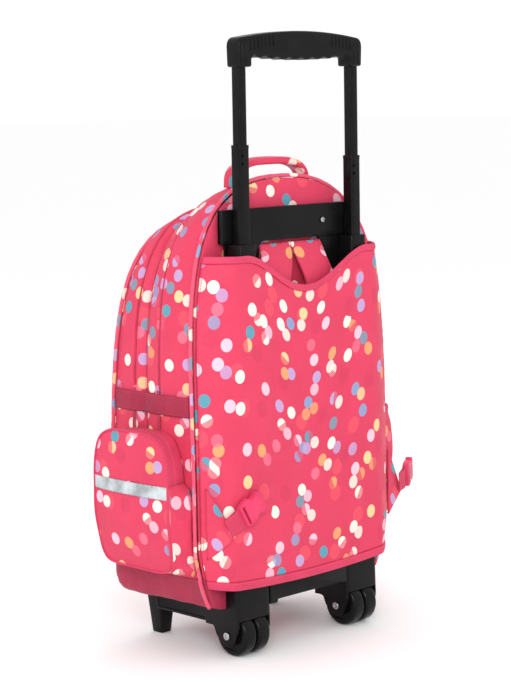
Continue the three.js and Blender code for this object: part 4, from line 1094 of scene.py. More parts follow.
class BACKPACK_OT_base(bpy.types.Operator):
    """Moulds the wheel housings, rear beam, rails and feet, and turns the wheels and axles"""

    bl_idname = "backpack.base"
    bl_label = "Wheel Base"

    def execute(self, context):
        for name, side in (("left", -1), ("right", 1)):
            low, high = sorted((side * HOUSING_NEAR, side * HOUSING_FAR))
            housing = extruded(f"wheel_housing_{name}_moulding", housing_outline(),
                               lambda u, v: (low, u, v), (high - low, 0, 0))
            bevel_edges(housing, 5, 5, lambda m, h: abs(m.y - HOUSING_REAR) < 0.6 and m.z > 40
                        and abs(h.z) > 0.9)
            rounded(housing, 1.0, 3, 0.7)
            carve(housing, rod("hole", (low + 2.5, 0, AXLE_Z), (high - 2.5, 0, AXLE_Z), 26.4, 64),
                  rod("hole", (low - 3, 0, AXLE_Z), (high + 3, 0, AXLE_Z), 3.3, 28))
            dress(smooth_edges(housing), "black", [f"wheel_housing_{name}"])
            middle = side * HOUSING_MIDDLE
            pin = rod(f"axle_{name}_pin", (middle - PIN_HALF, 0, AXLE_Z),
                      (middle + PIN_HALF, 0, AXLE_Z), 3, 32)
            heads = []
            for end in (-1, 1):
                start = middle + end * 26.9
                head = rod("head", (start, 0, AXLE_Z), (start + end * 1.7, 0, AXLE_Z), 4.6, 32)
                rounded(head, 0.8, 3, 0.9)
                carve(head, rod("hole", (start + end * 1.0, 0, AXLE_Z),
                                (start + end * 3, 0, AXLE_Z), 2.2, 24))
                heads.append(head)
            pin = joined(f"axle_{name}_pin", pin, *heads)
            dress(smooth_edges(pin), "steel", [f"axle_{name}"])
            for place, x in WHEEL_PLACES:
                wheel = wheel_shape(f"wheel_{name}_{place}_turned", side * x)
                node = f"wheel_{name}_{place}"
                dress(wheel, "wheel", [node], f"{node}_body")
            rail = block(f"base_rail_{name}_moulding", (side * 100 - 12, 36.3, 34.5),
                         (side * 100 + 12, 128.7, 57.2))
            select_faces(rail, lambda m, n: n.z < -0.9 or abs(n.x) > 0.9)
            bpy.ops.mesh.inset(thickness=3 * MM, depth=0, use_individual=True)
            bpy.ops.mesh.inset(thickness=0.6 * MM, depth=-1.2 * MM, use_individual=True)
            leave_edit(rail)
            dress(smooth_edges(rounded(rail, 0.8, 2, 0.9)), "black", [f"base_rail_{name}"])
            foot = block(f"front_foot_{name}_moulding", (side * 92 - 14, 129, 0), (side * 92 + 14, 155, 57.2))
            select_faces(foot, lambda m, n: n.z < -0.9)
            bpy.ops.transform.resize(value=(0.57, 0.69, 1), center_override=spot(side * 92, 142, 0))
            leave_edit(foot)
            bevel_edges(foot, 3, 4, lambda m, h: abs(h.z) > 0.8)
            dress(smooth_edges(rounded(foot, 1.2, 3, 0.9)), "black", [f"front_foot_{name}"])
        outline = [(-65.2, 86), (65.2, 86), (65.2, 57.8), (60, 58), (54, 59.2), (-50, 59.2), (-56, 58.6),
                   (-58, 56), (-65.2, 56)]
        beam = extruded("rear_beam_moulding", outline, lambda u, v: (u, -18.4, v), (0, 19.4, 0))
        rounded(beam, 1.2, 3, 0.7)
        dress(smooth_edges(beam), "black", ["rear_beam"])
        return {"FINISHED"}


def arch_edge(half_width, top, power, foot, y_at, out, count=420):
    path = arch_path(foot, half_width, top, power, count)
    middle = np.array((0, 260.0))
    away = path - middle
    away /= np.linalg.norm(away, axis=1, keepdims=True)
    sideways = np.stack([np.sign(path[:, 0]), 0 * path[:, 0]], axis=1)
    mix = ease(path[:, 1], SPRING_Z, SPRING_Z + 120)[:, None]
    path = path + (sideways * (1 - mix) + away * mix) * out
    return np.stack([path[:, 0], y_at(path[:, 1]), path[:, 1]], axis=1)


class BACKPACK_OT_bag(bpy.types.Operator):
    """Sews the bag: gussets with their zips, back and front panels, divider, base and piping"""

    bl_idname = "backpack.bag"
    bl_label = "Bag"

    def execute(self, context):
        wrinkle = sizes().wrinkle_depth / MM
        main_zip = (0.6, 0.6625)
        front_zip = (0.26, 0.344)
        for name, table, y_at, ends, inside, seed in (
                ("main", MAIN_TABLE, main_y, main_zip, (0, 45, 260), 1.7),
                ("front", FRONT_TABLE, front_side_y, front_zip, (0, 115, 260), 9.1)):
            piece, grid = make_gusset(f"{name}_gusset_cloth", table, y_at, *ends, inside, seed)
            dress(piece, "print_sewn", [f"{name}_gusset"])
            rows = []
            for depth in np.linspace(ends[0] + 0.001, ends[1] - 0.001, 9):
                half = HALF_WIDTH * section(table, depth, 1)
                path = arch_path(ZIP_END_Z - 2, half, BAG_TOP * section(table, depth, 2),
                                 section(table, depth, 3), 700)
                rows.append(np.stack([path[:, 0], y_at(depth, path[:, 1]), path[:, 1]], axis=1))
            tape = np.array(rows)
            mound = np.interp(np.linspace(0, 1, 9), (0, 0.25, 0.4, 0.6, 0.75, 1),
                              (-1.15, -1.15, -0.3, -0.3, -1.15, -1.15))
            tape = tape + outward_normals(tape, inside) * mound[:, None, None]
            uv = np.stack([run_lengths(tape, 1), run_lengths(tape, 0)], axis=2)
            strip = cloth(f"{name}_zip_tape", tape, inside, 0.5, uv=uv)
            dress(strip, "zip", [f"{name}_zip"])
        back = panel_grid(HALF_WIDTH - 1, BAG_TOP, BACK_POWER, lambda u, z: back_y(z), 110, 90)
        seam = panel_seam(back)
        back = ruffled(back, (0, 60, 260), 0.7, (60, 60, 60), 4.4, seam)
        back[..., 1] += 1.2 * np.exp(-seam / 5)
        panel = cloth("back_panel_cloth", back, (0, 60, 260), 4, seam)
        dress(panel, "print_sewn", ["back_panel"])
        front_half = HALF_WIDTH * 0.988
        front_top = BAG_TOP * 0.912

        def front_face(u, z):
            up = np.clip((z - SEAM_Z) / (front_top - SEAM_Z), 0, 1)
            profile = (0.45 + 0.55 * np.sin(np.pi * np.minimum(1, up * 1.1))) * (1 - up ** 8)
            return front_y(z) + 2.3 + 17 * (1 - np.abs(u) ** 2.4) * profile

        front = panel_grid(front_half, front_top, 2.95, front_face, 120, 100)
        seam = panel_seam(front)
        front = ruffled(front, (0, 60, 240), wrinkle, (50, 50, 60), 2.2, seam, 0.5, ("c0", "c1"))
        dress(cloth("front_panel_cloth", front, (0, 60, 240), CLOTH, seam), "print_sewn",
              ["front_panel"])
        wall = panel_grid(HALF_WIDTH * 0.978 - 2.3, BAG_TOP * 0.944 - 2.3, 2.6,
                          lambda u, z: 87 + 0 * z, 40, 30)
        dress(cloth("divider_cloth", wall, (0, 120, 260), 1), "plain", ["divider"])
        self.base(wrinkle)
        self.piping()
        return {"FINISHED"}

    def base(self, wrinkle):
        rows = []
        heights = np.concatenate([np.linspace(SEAM_Z, 61, 22), [59.2, 58, 57.5], [57.5] * 7])
        inward = np.concatenate([np.zeros(22), [1.2, 3, 6], np.linspace(0.12, 0.98, 7)])
        for index, (z, shrink) in enumerate(zip(heights, inward)):
            floor = index >= 25
            half = HALF_WIDTH * hermite(LOWER_Z, LOWER_SHARE, z)
            flare = float(np.interp(z, LOWER_Z, LOWER_FLARE))
            length = float(np.interp(z, LOWER_Z, (0.88, 0.95, 0.985, 1, 1, 1)))
            low = 1.3
            high = 81 + 81 * length
            loop = []
            corners = ((half + flare - 21, high - 21, 21, 0), (21 - half - flare, high - 21, 21, 90),
                       (5 - half, low + 5, 5, 180), (half - 5, low + 5, 5, 270))
            for x, y, radius, start in corners:
                for angle in np.radians(np.linspace(start, start + 90, 9)):
                    loop.append((x + radius * math.cos(angle), y + radius * math.sin(angle)))
            loop.append(loop[0])
            path = even_path(loop, 301)[:-1]
            if floor:
                path = path + (np.array((0, 81.0)) - path) * shrink
            rows.append(np.concatenate([path, np.full((300, 1), z)], axis=1))
        grid = np.array(rows)
        inside = (0, 81, 110)
        seam = edge_distance(grid, ("r0",))
        hold = np.where(grid[..., 2] < 60, 0, seam)
        folded = ruffled(grid, inside, wrinkle * 1.1, (34, 34, 22), 5.5, hold)
        folded[..., 2] = np.maximum(folded[..., 2], 57.4)
        around = np.broadcast_to(run_lengths(grid, 1)[:1], grid.shape[:2])
        uv = np.stack([around, run_lengths(grid, 0)], axis=2)
        piece = cloth("base_cloth", folded, inside, 2, seam, uv, wraps=True)
        dress(piece, "base", ["base_tray"])

    def piping(self):
        radius = sizes().piping_radius / MM
        back = arch_edge(HALF_WIDTH, BAG_TOP, BACK_POWER, 61.5, lambda z: back_y(z) + 4, radius + 0.6)
        front = arch_edge(HALF_WIDTH * 0.988, BAG_TOP * 0.912, 2.95, 98.3,
                          lambda z: front_y(z) + 2, radius + 0.6)
        for name, path in (("back", back), ("front", front)):
            low = path[:, 2] < SEAM_Z
            path[low, 0] += np.sign(path[low, 0]) * 1.2
            thick = radius * (1 + 0.05 * np.sin(np.arange(len(path)) * 0.9))
            piece = tube_along(f"{name}_piping_cord", path, thick)
            dress(piece, "piping", [f"{name}_piping"])


def pocket_rim():
    """Rim of the left pocket from its foot to its top, up its rear half."""
    table = np.array([
        (0, 0.045, 0, 0, 0.72), (0.68, 0.05, 0.72, 0, 0.72), (0.89, 0.1, 1.04, 0.02, 0.78),
        (0.97, 0.22, 1.08, 0.16, 0.86), (1, 0.4, 1.08, 0.36, 1), (1, 0.58, 1.06, 0.58, 1),
        (1, 0.66, 0.88, 0.66, 1), (0.98, 0.76, 0.84, 0.76, 1), (0.91, 0.87, 0.76, 0.86, 1),
        (0.78, 0.945, 0.62, 0.94, 1), (0.5, 0.99, 0.38, 0.975, 1), (0, 1, 0, 0.98, 1)])
    knots = np.linspace(0, 1, len(table))
    fine = hermite(knots, table, np.linspace(0, 1, 60))
    run = np.concatenate([[0], np.cumsum(np.linalg.norm(np.diff(fine[:, :2], axis=0), axis=1))])
    at = np.linspace(0, run[-1], 60)
    return np.stack([np.interp(at, run, fine[:, i]) for i in range(5)], axis=1)


POCKET_Y = 77
POCKET_HALF = 63
POCKET_LOW = 98
POCKET_TALL = 168
POCKET_X = HALF_WIDTH * 1.024


def pocket_loop(across, up, x):
    """A closed loop round the pocket, from shares of its half width and height. Its back half mirrors."""
    rear = np.stack([-x, POCKET_Y - across * POCKET_HALF, POCKET_LOW + up * POCKET_TALL], axis=1)
    front = rear[1:-1][::-1] * (1, -1, 1) + (0, 2 * POCKET_Y, 0)
    return np.concatenate([rear, front])


def pocket_face(rim, reach, lift=0.0):
    """A loop on the pocket's face, at a share of the way from its middle to its rim."""
    crown = 5 * (1 - reach ** 2.6)
    depth = 31 * (1 + (rim[:, 4] - 1) * reach ** 2)
    up = 0.52 + (rim[:, 1] - 0.52) * reach
    return pocket_loop(rim[:, 0] * reach, up, POCKET_X + depth + crown + lift)


class BACKPACK_OT_pockets(bpy.types.Operator):
    """Sews the zipped pocket, its band and reflective strip, and the open bottle pocket"""

    bl_idname = "backpack.pockets"
    bl_label = "Side Pockets"

    def execute(self, context):
        rim = pocket_rim()
        tuck = 7 * ease(0.3 - rim[:, 1], 0, 0.3) + 1
        base = pocket_loop(rim[:, 2], rim[:, 3], POCKET_X - tuck)
        edge = pocket_face(rim, 1.0)
        sides = [base + (edge - base) * share for share in np.linspace(0, 0.9, 14)]
        corner = [edge * 0.5 + pocket_face(rim, 0.985) * 0.5]
        faces = [pocket_face(rim, reach) for reach in np.linspace(0.97, 0.0, 42)]
        grid = np.array(sides + corner + faces)
        inside = (-165, POCKET_Y, 180)
        edge_run = np.abs(run_lengths(grid, 0) - run_lengths(grid, 0)[14:15])
        folded = ruffled(grid, inside, 1.0, (34, 30, 34), 3.1, np.minimum(edge_run, 20))
        pull = np.exp(-((grid[..., 2] - 201) / 9) ** 2) * ease(edge_run, 2, 20)
        folded[..., 0] += 1.0 * pull * (np.arange(len(grid)) > 14)[:, None]
        uv = grid[..., 1:3] * (-1, 1)
        wall_uv = np.stack([run_lengths(grid, 1)[14:15] + 0 * grid[..., 0], run_lengths(grid, 0)], axis=2)
        uv = np.where((np.arange(len(grid)) < 14)[:, None, None], wall_uv, uv)
        piece = cloth("side_pocket_left_cloth", folded, inside, 1.6, edge_run, uv, True, 14)
        dress(piece, "print_sewn", ["side_pocket_left"])
        ring = np.concatenate([edge, edge[:2]])
        ring[:, 0] -= 0.3
        trim = tube_along("side_pocket_left_piping", even_path(ring, 260), 1.35, 10)
        dress(trim, "plain", [])
        self.zip_band(rim, base, edge)
        self.strip(rim)
        self.bottle()
        return {"FINISHED"}

    def zip_band(self, rim, base, edge):
        count = len(rim)
        keep = np.arange(int(count * 0.56), 2 * count - 2 - int(count * 0.56) + 1)
        low = base[keep]
        high = edge[keep]
        rows = []
        middle = np.array((-175.0, POCKET_Y, POCKET_LOW + 0.45 * POCKET_TALL))
        for share in np.linspace(0.02, 0.97, 18):
            row = low + (high - low) * share
            away = row - middle
            away[:, 0] = 0
            away /= np.linalg.norm(away, axis=1, keepdims=True)
            groove = -0.7 * math.exp(-((share - 0.56) / 0.07) ** 2)
            rows.append(row + away * (1.7 + groove))
        grid = np.array(rows)
        uv = np.stack([run_lengths(grid, 1), run_lengths(grid, 0)], axis=2)
        seam = np.minimum(edge_distance(grid, ("r0", "r1")),
                          np.abs(uv[..., 1] - 0.56 * uv[-1:, :, 1]) + 0.6)
        band = cloth("pocket_zip_band_left_cloth", grid, middle, 1.2, seam, uv)
        dress(band, "plain_sewn", ["pocket_zip_band_left"])

    def strip(self, rim):
        directions = pocket_face(rim, 1.0)
        centre = np.array((POCKET_Y, POCKET_LOW + 0.52 * POCKET_TALL))
        offset = directions[:, 1:] - centre
        heading = np.unwrap(np.arctan2(offset[:, 1], -offset[:, 0]))
        reach = np.linalg.norm(offset, axis=1)
        depth = np.concatenate([rim[:, 4], rim[1:-1, 4][::-1]])
        order = np.argsort(heading)
        y = np.linspace(POCKET_Y - POCKET_HALF * 0.985, POCKET_Y + POCKET_HALF * 0.985, 90)
        z = np.linspace(193.5, 208.5, 9)
        yy, zz = np.meshgrid(y, z)
        angle = np.arctan2(zz - centre[1], -(yy - centre[0]))
        far = np.interp(angle, heading[order], reach[order], period=2 * math.pi)
        full = np.interp(angle, heading[order], depth[order], period=2 * math.pi)
        share = np.clip(np.hypot(yy - centre[0], zz - centre[1]) / far, 0, 1)
        x = POCKET_X + 31 * (1 + (full - 1) * share ** 2) + 5 * (1 - share ** 2.6) + 0.75
        grid = np.stack([-x, yy, zz], axis=2)
        grid[..., 0] += 0.5 * noise_field(grid, np.array((20.0, 14.0, 60.0)), 6.0)
        tape = cloth("reflective_strip_left_tape", grid, (-100, POCKET_Y, 200), 0.7,
                     edge_distance(grid, ("r0", "r1")))
        dress(tape, "tape", ["reflective_strip_left"])

    def bottle(self):
        z = np.linspace(98, 247.3, 64)
        u = np.sin(np.linspace(-1, 1, 90) * math.pi / 2)
        bulge = hermite([98, 120, 150, 180, 206, 230, 247.3], [0.3, 0.62, 0.8, 0.92, 1, 0.9, 0.74], z)
        y = 9 + 132 * (u + 1) / 2
        yy, zz = np.meshgrid(y, z)
        out = 40 * bulge[:, None] * (1 - np.abs(u[None, :]) ** 11)
        grid = np.stack([side_x(yy, zz) + np.maximum(out, 0.3), yy, zz], axis=2)
        gather = ease(zz, 215, 247) * 0.9 * np.sin(yy * 0.8 + 0.05 * zz) * (1 - np.abs(u[None, :]) ** 8)
        inside = (120, 75, 170)
        folded = ruffled(grid, inside, 1.4, (40, 30, 40), 8.0,
                         edge_distance(grid, ("c0", "c1", "r0", "r1")))
        folded[..., 0] += gather
        piece = cloth("bottle_pocket_right_cloth", folded, inside, 1.6,
                      edge_distance(grid, ("c0", "c1", "r1")))
        dress(piece, "print_sewn", ["bottle_pocket_right"])
        z = np.linspace(247.3, 256.3, 8)
        yy, zz = np.meshgrid(y, z)
        out = 40 * 0.74 * (1 - np.abs(u[None, :]) ** 11) + 0.9 * np.sin((zz - 247.3) / 9 * math.pi)
        hem = np.stack([side_x(yy, zz) + np.maximum(out, 0.3), yy, zz], axis=2)
        hem[..., 0] += 0.8 * np.sin(yy * 0.8 + 0.05 * zz) * (1 - np.abs(u[None, :]) ** 8)
        hem_piece = cloth("bottle_pocket_hem_cloth", hem, (120, 75, 252), 2,
                          edge_distance(hem, ("r0", "r1")))
        dress(hem_piece, "plain_sewn", ["bottle_pocket_hem"])


COVER_SHOULDER = 0.76


def cover_edge_x(z):
    return (HALF_WIDTH - 1) * lower_share(z) * arch_share(z, BAG_TOP, BACK_POWER)


def cover_shoulder_x(z):
    return 121 + (108.5 - 121) * ease(z, 95, 220)


def cover_x(share, z):
    beyond = (np.abs(share) - COVER_SHOULDER) / (1 - COVER_SHOULDER)
    shoulder = cover_shoulder_x(z)
    inner = np.abs(share) / COVER_SHOULDER * shoulder
    return np.sign(share) * np.where(beyond > 0, shoulder + beyond * (cover_edge_x(z) - shoulder), inner)


def cover_y(x, z):
    rear = back_y(z) - 2.3
    away = np.clip((cover_edge_x(z) - np.abs(x)) / (cover_edge_x(z) - cover_shoulder_x(z)), 0, 1)
    low = np.clip((z - 86) / 120, 0, 1)
    sag = 2.2 * low * np.cos(np.minimum(1, np.abs(x) / 79.5) * math.pi / 2)
    return rear + (-22.6 + sag - rear) * np.sin(away * math.pi / 2) ** 0.92


def cover_top(share):
    away = np.minimum(1, np.abs(cover_x(share, 464)) / 100)
    return 424 + 40 * (away * away * (3 - 2 * away)) ** 1.15


def cover_foot(share):
    return 78 + 8 * share ** 2


def cover_grid(z_at, rows, lift):
    share = np.linspace(-1, 1, 171)[None, :]
    up = np.linspace(0, 1, rows)[:, None]
    z = z_at(share, up)
    x = cover_x(share + 0 * z, z)
    return np.stack([x, cover_y(x, z) - lift, z], axis=2)


class BACKPACK_OT_cover(bpy.types.Operator):
    """Sews the cover that is drawn over the handle tubes, with a binding along its top and foot"""

    bl_idname = "backpack.cover"
    bl_label = "Handle Cover"

    def execute(self, context):
        inside = (0, 40, 260)

        def body_z(share, up):
            low = cover_foot(share) + 9.5
            return low + (cover_top(share) - 7.5 - low) * up

        grid = cover_grid(body_z, 150, 0)
        hold = edge_distance(grid, ("r0", "r1", "c0", "c1"))
        normal = outward_normals(grid, inside)
        folded = ruffled(grid, inside, 0.8, (55, 55, 80), 12.0, hold, 0.5, ("c0", "c1"))
        x = grid[..., 0]
        z = grid[..., 2]
        foot_fold = -1.4 * np.exp(-((z - 112 - 0.03 * x) / 7) ** 2) * ease(150 - np.abs(x), 0, 60)
        below_hem = ease(430 - z, 0, 80)
        drape = -1.1 * np.exp(-((x + 55 - 0.03 * (z - 260)) / 7) ** 2) * ease(z, 120, 200) * below_hem
        slack = -0.9 * np.exp(-((x - 62 + 0.05 * (z - 260)) / 9) ** 2) * ease(z, 160, 260) * below_hem
        folded = folded + normal * (foot_fold + drape + slack)[..., None]
        seam = edge_distance(grid, ("c0", "c1"))
        cover = cloth("trolley_cover_cloth", folded, inside, CLOTH, seam)
        dress(cover, "print_sewn", ["trolley_cover"])
        top = cover_grid(lambda s, up: cover_top(s) - 8 * (1 - up), 9, 0)
        foot = cover_grid(lambda s, up: cover_foot(s) + 10 * up, 11, 0)
        for name, band in (("cover_top_binding", top), ("cover_bottom_binding", foot)):
            rows = len(band)
            round_over = 0.9 + 0.9 * np.sin(np.linspace(0, math.pi, rows)) ** 0.6
            band = band + outward_normals(band, inside) * round_over[:, None, None]
            band[..., 1] += 0.25 * noise_field(band, np.array((9.0, 9.0, 9.0)), 2.0)
            piece = cloth(f"{name}_cloth", band, inside, 3.0, edge_distance(band, ("r0", "r1")))
            dress(piece, "plain_sewn", [name])
        sewn_sheet(grid)
        return {"FINISHED"}


def padded_strap(name, centres, acrosses, outs, width, thick, seed):
    """A padded band along a path: crowned on both faces, pulled in along its sewn edges."""
    ring = np.linspace(0, 2 * math.pi, 40, endpoint=False)
    wide = np.sign(np.cos(ring)) * np.abs(np.cos(ring)) ** 0.42
    tall = np.sin(ring)
    tall = np.sign(tall) * np.abs(tall) ** 0.75
    width = np.broadcast_to(width, len(centres))[:, None, None] / 2
    thick = np.broadcast_to(thick, len(centres))[:, None, None] / 2
    grid = (centres[:, None] + acrosses[:, None] * wide[None, :, None] * width
            + outs[:, None] * tall[None, :, None] * thick)
    normal = outward_normals_ring(grid, centres)
    edge = width[..., 0] * (1 - np.abs(wide))[None, :]
    puff = 0.6 * noise_field(grid, np.array((26.0, 26.0, 26.0)), seed)
    groove = -0.5 * np.exp(-((edge - 4.2) / 1.1) ** 2)
    grid = grid + normal * ((puff * ease(edge, 2, 12)) + groove)[..., None]
    first = centres[:1, None] + (grid[:1] - centres[:1, None]) * 0.03
    last = centres[-1:, None] + (grid[-1:] - centres[-1:, None]) * 0.03
    grid = np.concatenate([first, grid, last])
    edge = np.concatenate([edge[:1], edge, edge[-1:]]) + 0 * grid[..., 0]
    along = run_lengths(grid, 0).mean(axis=1)[:, None]
    around = run_lengths(grid, 1)[len(grid) // 2][None, :]
    uv = np.stack(np.broadcast_arrays(around, along), axis=2)
    return cloth_ring(name, grid, np.abs(edge - 4.2) + 2.2, uv, centres)


def outward_normals_ring(grid, centres):
    normal = grid - centres[:, None]
    around = np.roll(grid, -1, axis=1) - np.roll(grid, 1, axis=1)
    along = np.gradient(grid, axis=0)
    cross = np.cross(along, around)
    cross /= np.maximum(np.linalg.norm(cross, axis=2, keepdims=True), 1e-9)
    return cross * np.sign(np.sum(cross * normal))


def cloth_ring(name, grid, seam, uv, centres):
    """A closed tube of cloth with both ends shut."""
    rows, columns = grid.shape[:2]
    faces = grid_faces(rows, columns, True)
    step = uv[:, -1:] - uv[:, -2:-1]
    uv = np.concatenate([uv, uv[:, -1:] + step], axis=1)
    seam = np.concatenate([seam, seam[:, :1]], axis=1)
    loops = np.array(grid_faces(rows, columns + 1, False))
    flat_uv = uv.reshape(-1, 2)
    seam_uv = np.stack([flat_uv.sum(axis=1), seam.reshape(-1)], axis=1)
    faces = faces + [tuple(range(columns))[::-1], tuple(range((rows - 1) * columns, rows * columns))]
    ends = np.zeros((2 * columns, 2))
    table = np.concatenate([flat_uv[loops].reshape(-1, 2), ends])
    seams = np.concatenate([seam_uv[loops].reshape(-1, 2), ends + 900])
    points = grid.reshape(-1, 3)
    probe = np.array(faces[columns * (rows // 2)])
    turn = np.cross(points[probe[2]] - points[probe[0]], points[probe[3]] - points[probe[1]])
    piece = new_piece(name, points, faces, table, seams)
    if np.dot(turn, points[probe].mean(axis=0) - centres[min(rows // 2, len(centres) - 1)]) < 0:
        piece.data.flip_normals()
    return piece


class BACKPACK_OT_straps(bpy.types.Operator):
    """Pads the shoulder straps and the haul handle"""

    bl_idname = "backpack.straps"
    bl_label = "Straps And Haul Handle"

    def execute(self, context):
        for name, side in (("left", -1), ("right", 1)):
            along = np.linspace(0, 1, 110)
            z = 472 - along * 344
            middle = hermite([0, 0.05, 0.12, 0.3, 0.7, 1], [0.5, 0.56, 0.72, 0.88, 0.88, 0.8], along)
            forward = hermite([0, 0.05, 0.12, 0.3, 1], [0, 0.5, 1, 1, 1], along)
            rest = back_y(z) - 0.3 - 7.2
            front = rest + (np.minimum(rest, -9.5) - rest) * forward
            centres = np.stack([side * (50 * middle + 0.3), front + 3.6, z], axis=1)
            acrosses = np.broadcast_to((side * 1.0, 0, 0), centres.shape)
            outs = np.broadcast_to((0, -1.0, 0), centres.shape)
            width = np.interp(along, (0, 0.12, 0.7, 1), (49.6, 49.6, 49.6, 45))
            strap = padded_strap(f"shoulder_strap_{name}_padded", centres, acrosses, outs, width, 7.2,
                                 side * 3)
            dress(strap, "print_sewn", [f"shoulder_strap_{name}"])
        angle = np.linspace(0, math.pi, 90)
        x = -58 * np.sign(np.cos(angle)) * np.abs(np.cos(angle)) ** 0.6
        foot = BAG_TOP * section(MAIN_TABLE, 0.35, 2)
        drop = (1 - np.sqrt(1 - (x / HALF_WIDTH) ** 2)) * 18
        drop = drop + 4 * np.exp(-(np.sin(angle) / 0.16) ** 2)
        z = foot - drop + 0.3 + (566 - foot) * np.sin(angle) ** 0.8
        outs = np.stack([-np.cos(angle), 0 * angle, np.sin(angle) * 1.6], axis=1)
        outs /= np.linalg.norm(outs, axis=1, keepdims=True)
        plump = 0.5 + 0.5 * np.sin(angle)
        centres = np.stack([x - 4, 38 + 0 * x, z], axis=1)
        acrosses = np.broadcast_to((0, 1.0, 0), centres.shape)
        haul = padded_strap("haul_handle_padded", centres, acrosses, outs, 24 * (0.85 + 0.15 * plump),
                            7 * (0.7 + 0.6 * plump), 4.0)
        dress(haul, "print_sewn", ["haul_handle"])
        return {"FINISHED"}


class BACKPACK_OT_trims(bpy.types.Operator):
    """Sews the side bands and the corner tabs with their webbing, and moulds the buckle sockets"""

    bl_idname = "backpack.trims"
    bl_label = "Bands, Tabs And Buckles"

    def execute(self, context):
        for name, side in (("left", -1), ("right", 1)):
            y = np.linspace(float(main_y(0.02, 294)), float(front_side_y(0.96, 294)), 110)
            reach = side_x(y, 294)
            bridge = np.convolve(np.pad(reach, 9, mode="edge"), np.ones(19) / 19, mode="valid")
            out = np.maximum(reach, bridge) + 2.2
            yy, zz = np.meshgrid(y, np.linspace(283, 306, 12))
            grid = np.stack([side * (out[None, :] + 0 * yy), yy, zz], axis=2)
            grid[..., 0] -= side * 0.7 * np.exp(-((yy - MAIN_SEAM_Y) / 1.2) ** 2)
            inside = (0, 78, 294)
            grid = ruffled(grid, inside, 0.5, (30, 22, 40), 5.0 + side)
            band = cloth(f"side_band_{name}_cloth", grid, inside, 1.6, edge_distance(grid, ("r0", "r1")))
            dress(band, "band", [f"side_band_{name}"])
            sewn_sheet(grid)
            self.tab(name)
        return {"FINISHED"}

    def tab_point(self, name, along, z, lift):
        if name == "right":
            return np.array((164.8 + along * 0.97, float(back_y(149)) + 3 + along * 0.24 - lift, z))
        x = -154.0 + along * 0.86
        return np.array((x, float(cover_y(x, z)) - 0.9 - lift, z))

    def tab(self, name):
        rows = []
        for share in np.linspace(0, 1, 30):
            low = 122 + (146 - 122) * share
            high = 204 + (150 - 204) * share
            rows.append([self.tab_point(name, share * 32, low + (high - low) * up, 3)
                         for up in np.linspace(0, 1, 36)])
        grid = np.array(rows)
        hold = edge_distance(grid, ("r1", "c0", "c1"))
        inside = (0, 60, 160)
        hem = 0.7 * np.exp(-((hold - 2.2) / 1.7) ** 2) - 0.5 * np.exp(-hold / 0.8)
        facing = np.array((0, -1.0, 0)) if name == "left" else np.array((0.24, -0.97, 0))
        grid = grid + facing * (hem + 0.5 * noise_field(grid, np.array((18.0, 18.0, 18.0)), 1.0))[..., None]
        tab = cloth(f"corner_tab_{name}_cloth", grid, inside, 2.6, hold)
        dress(tab, "print_sewn", [f"corner_tab_{name}"])
        sewn_sheet(grid, height=min)
        edge = np.array((-32.0, 55.0))
        edge /= np.linalg.norm(edge)
        start = np.array((32.0, 149.0)) + edge * 12.5
        lift = 3 + (1.5 if name == "left" else 2.7)
        origin = self.tab_point(name, start[0], start[1], lift)
        outward = np.array((1.0, 0, 0)) if name == "left" else np.array((0.85, 0.53, 0))
        outward = outward / np.linalg.norm(outward)
        rise = math.radians(30 if name == "left" else 10)
        along = outward * math.cos(rise) + np.array((0, 0, math.sin(rise)))
        face = np.cross(outward, (0, 0, 1))
        face /= np.linalg.norm(face)
        across = np.cross(along, face)
        axes = np.stack([along, across, face], axis=1)
        turn = Matrix([[*(float(v) for v in row), 0] for row in axes]).to_4x4()
        self.webbing(name, origin, along, across, face)
        self.buckle(name, Matrix.Translation(spot(*origin)) @ turn)

    def webbing(self, name, origin, along, across, face):
        loop = np.array([(-5, 0.4), (0, 1.6), (4, 3.4), (9, 4.6), (14, 4.4), (18.5, 3.9), (20.3, 2.9),
                         (19.6, 1.7), (16, 1.2), (10, 0.9), (4, 0.4), (-5, -0.2)])
        path = hermite(np.arange(len(loop)), loop, np.linspace(0, len(loop) - 1, 70))
        v = np.linspace(-12.2, 12.2, 22)
        rows = [[origin + along * u + across * b + face * w for b in v] for u, w in path]
        grid = np.array(rows)
        centre = origin + along * 9 + face * 2.4
        piece = cloth(f"tab_webbing_{name}_loop", grid, centre, 1.1, edge_distance(grid, ("c0", "c1")))
        dress(piece, "webbing", [f"tab_webbing_{name}"])
        sewn_sheet(grid)

    def buckle(self, name, place):
        half = 15.5
        outline = [(16.3, -half * 0.86), (22.3, -half), (44.3, -half), (52.3, -half * 0.8),
                   (52.3, half * 0.8), (44.3, half), (22.3, half), (16.3, half * 0.86)]
        body = extruded(f"buckle_{name}_moulding", outline,
                        lambda u, v: tuple(Vector((u, v, 0.3)) - ORIGIN / MM), (0, 0, 8))
        rounded(body, 1.6, 4, 0.7)
        tools = []
        for side in (-1, 1):
            tools.append(rod("hole", Vector((38.6, side * 18, -4)) - ORIGIN / MM,
                             Vector((38.6, side * 18, 14)) - ORIGIN / MM, 7, 40))
        base = ORIGIN / MM
        tools.append(block("hole", Vector((32, -9.6, 2.6)) - base, Vector((56, 9.6, 6.6)) - base))
        tools.append(block("hole", Vector((19.4, -12, -2)) - base, Vector((22.6, 12, 12)) - base))
        carve(body, *tools)
        rounded(body, 0.35, 2, 0.9)
        body.data.transform(place)
        body.data.update()
        dress(smooth_edges(body, 0.6), "buckle", [f"buckle_{name}"])


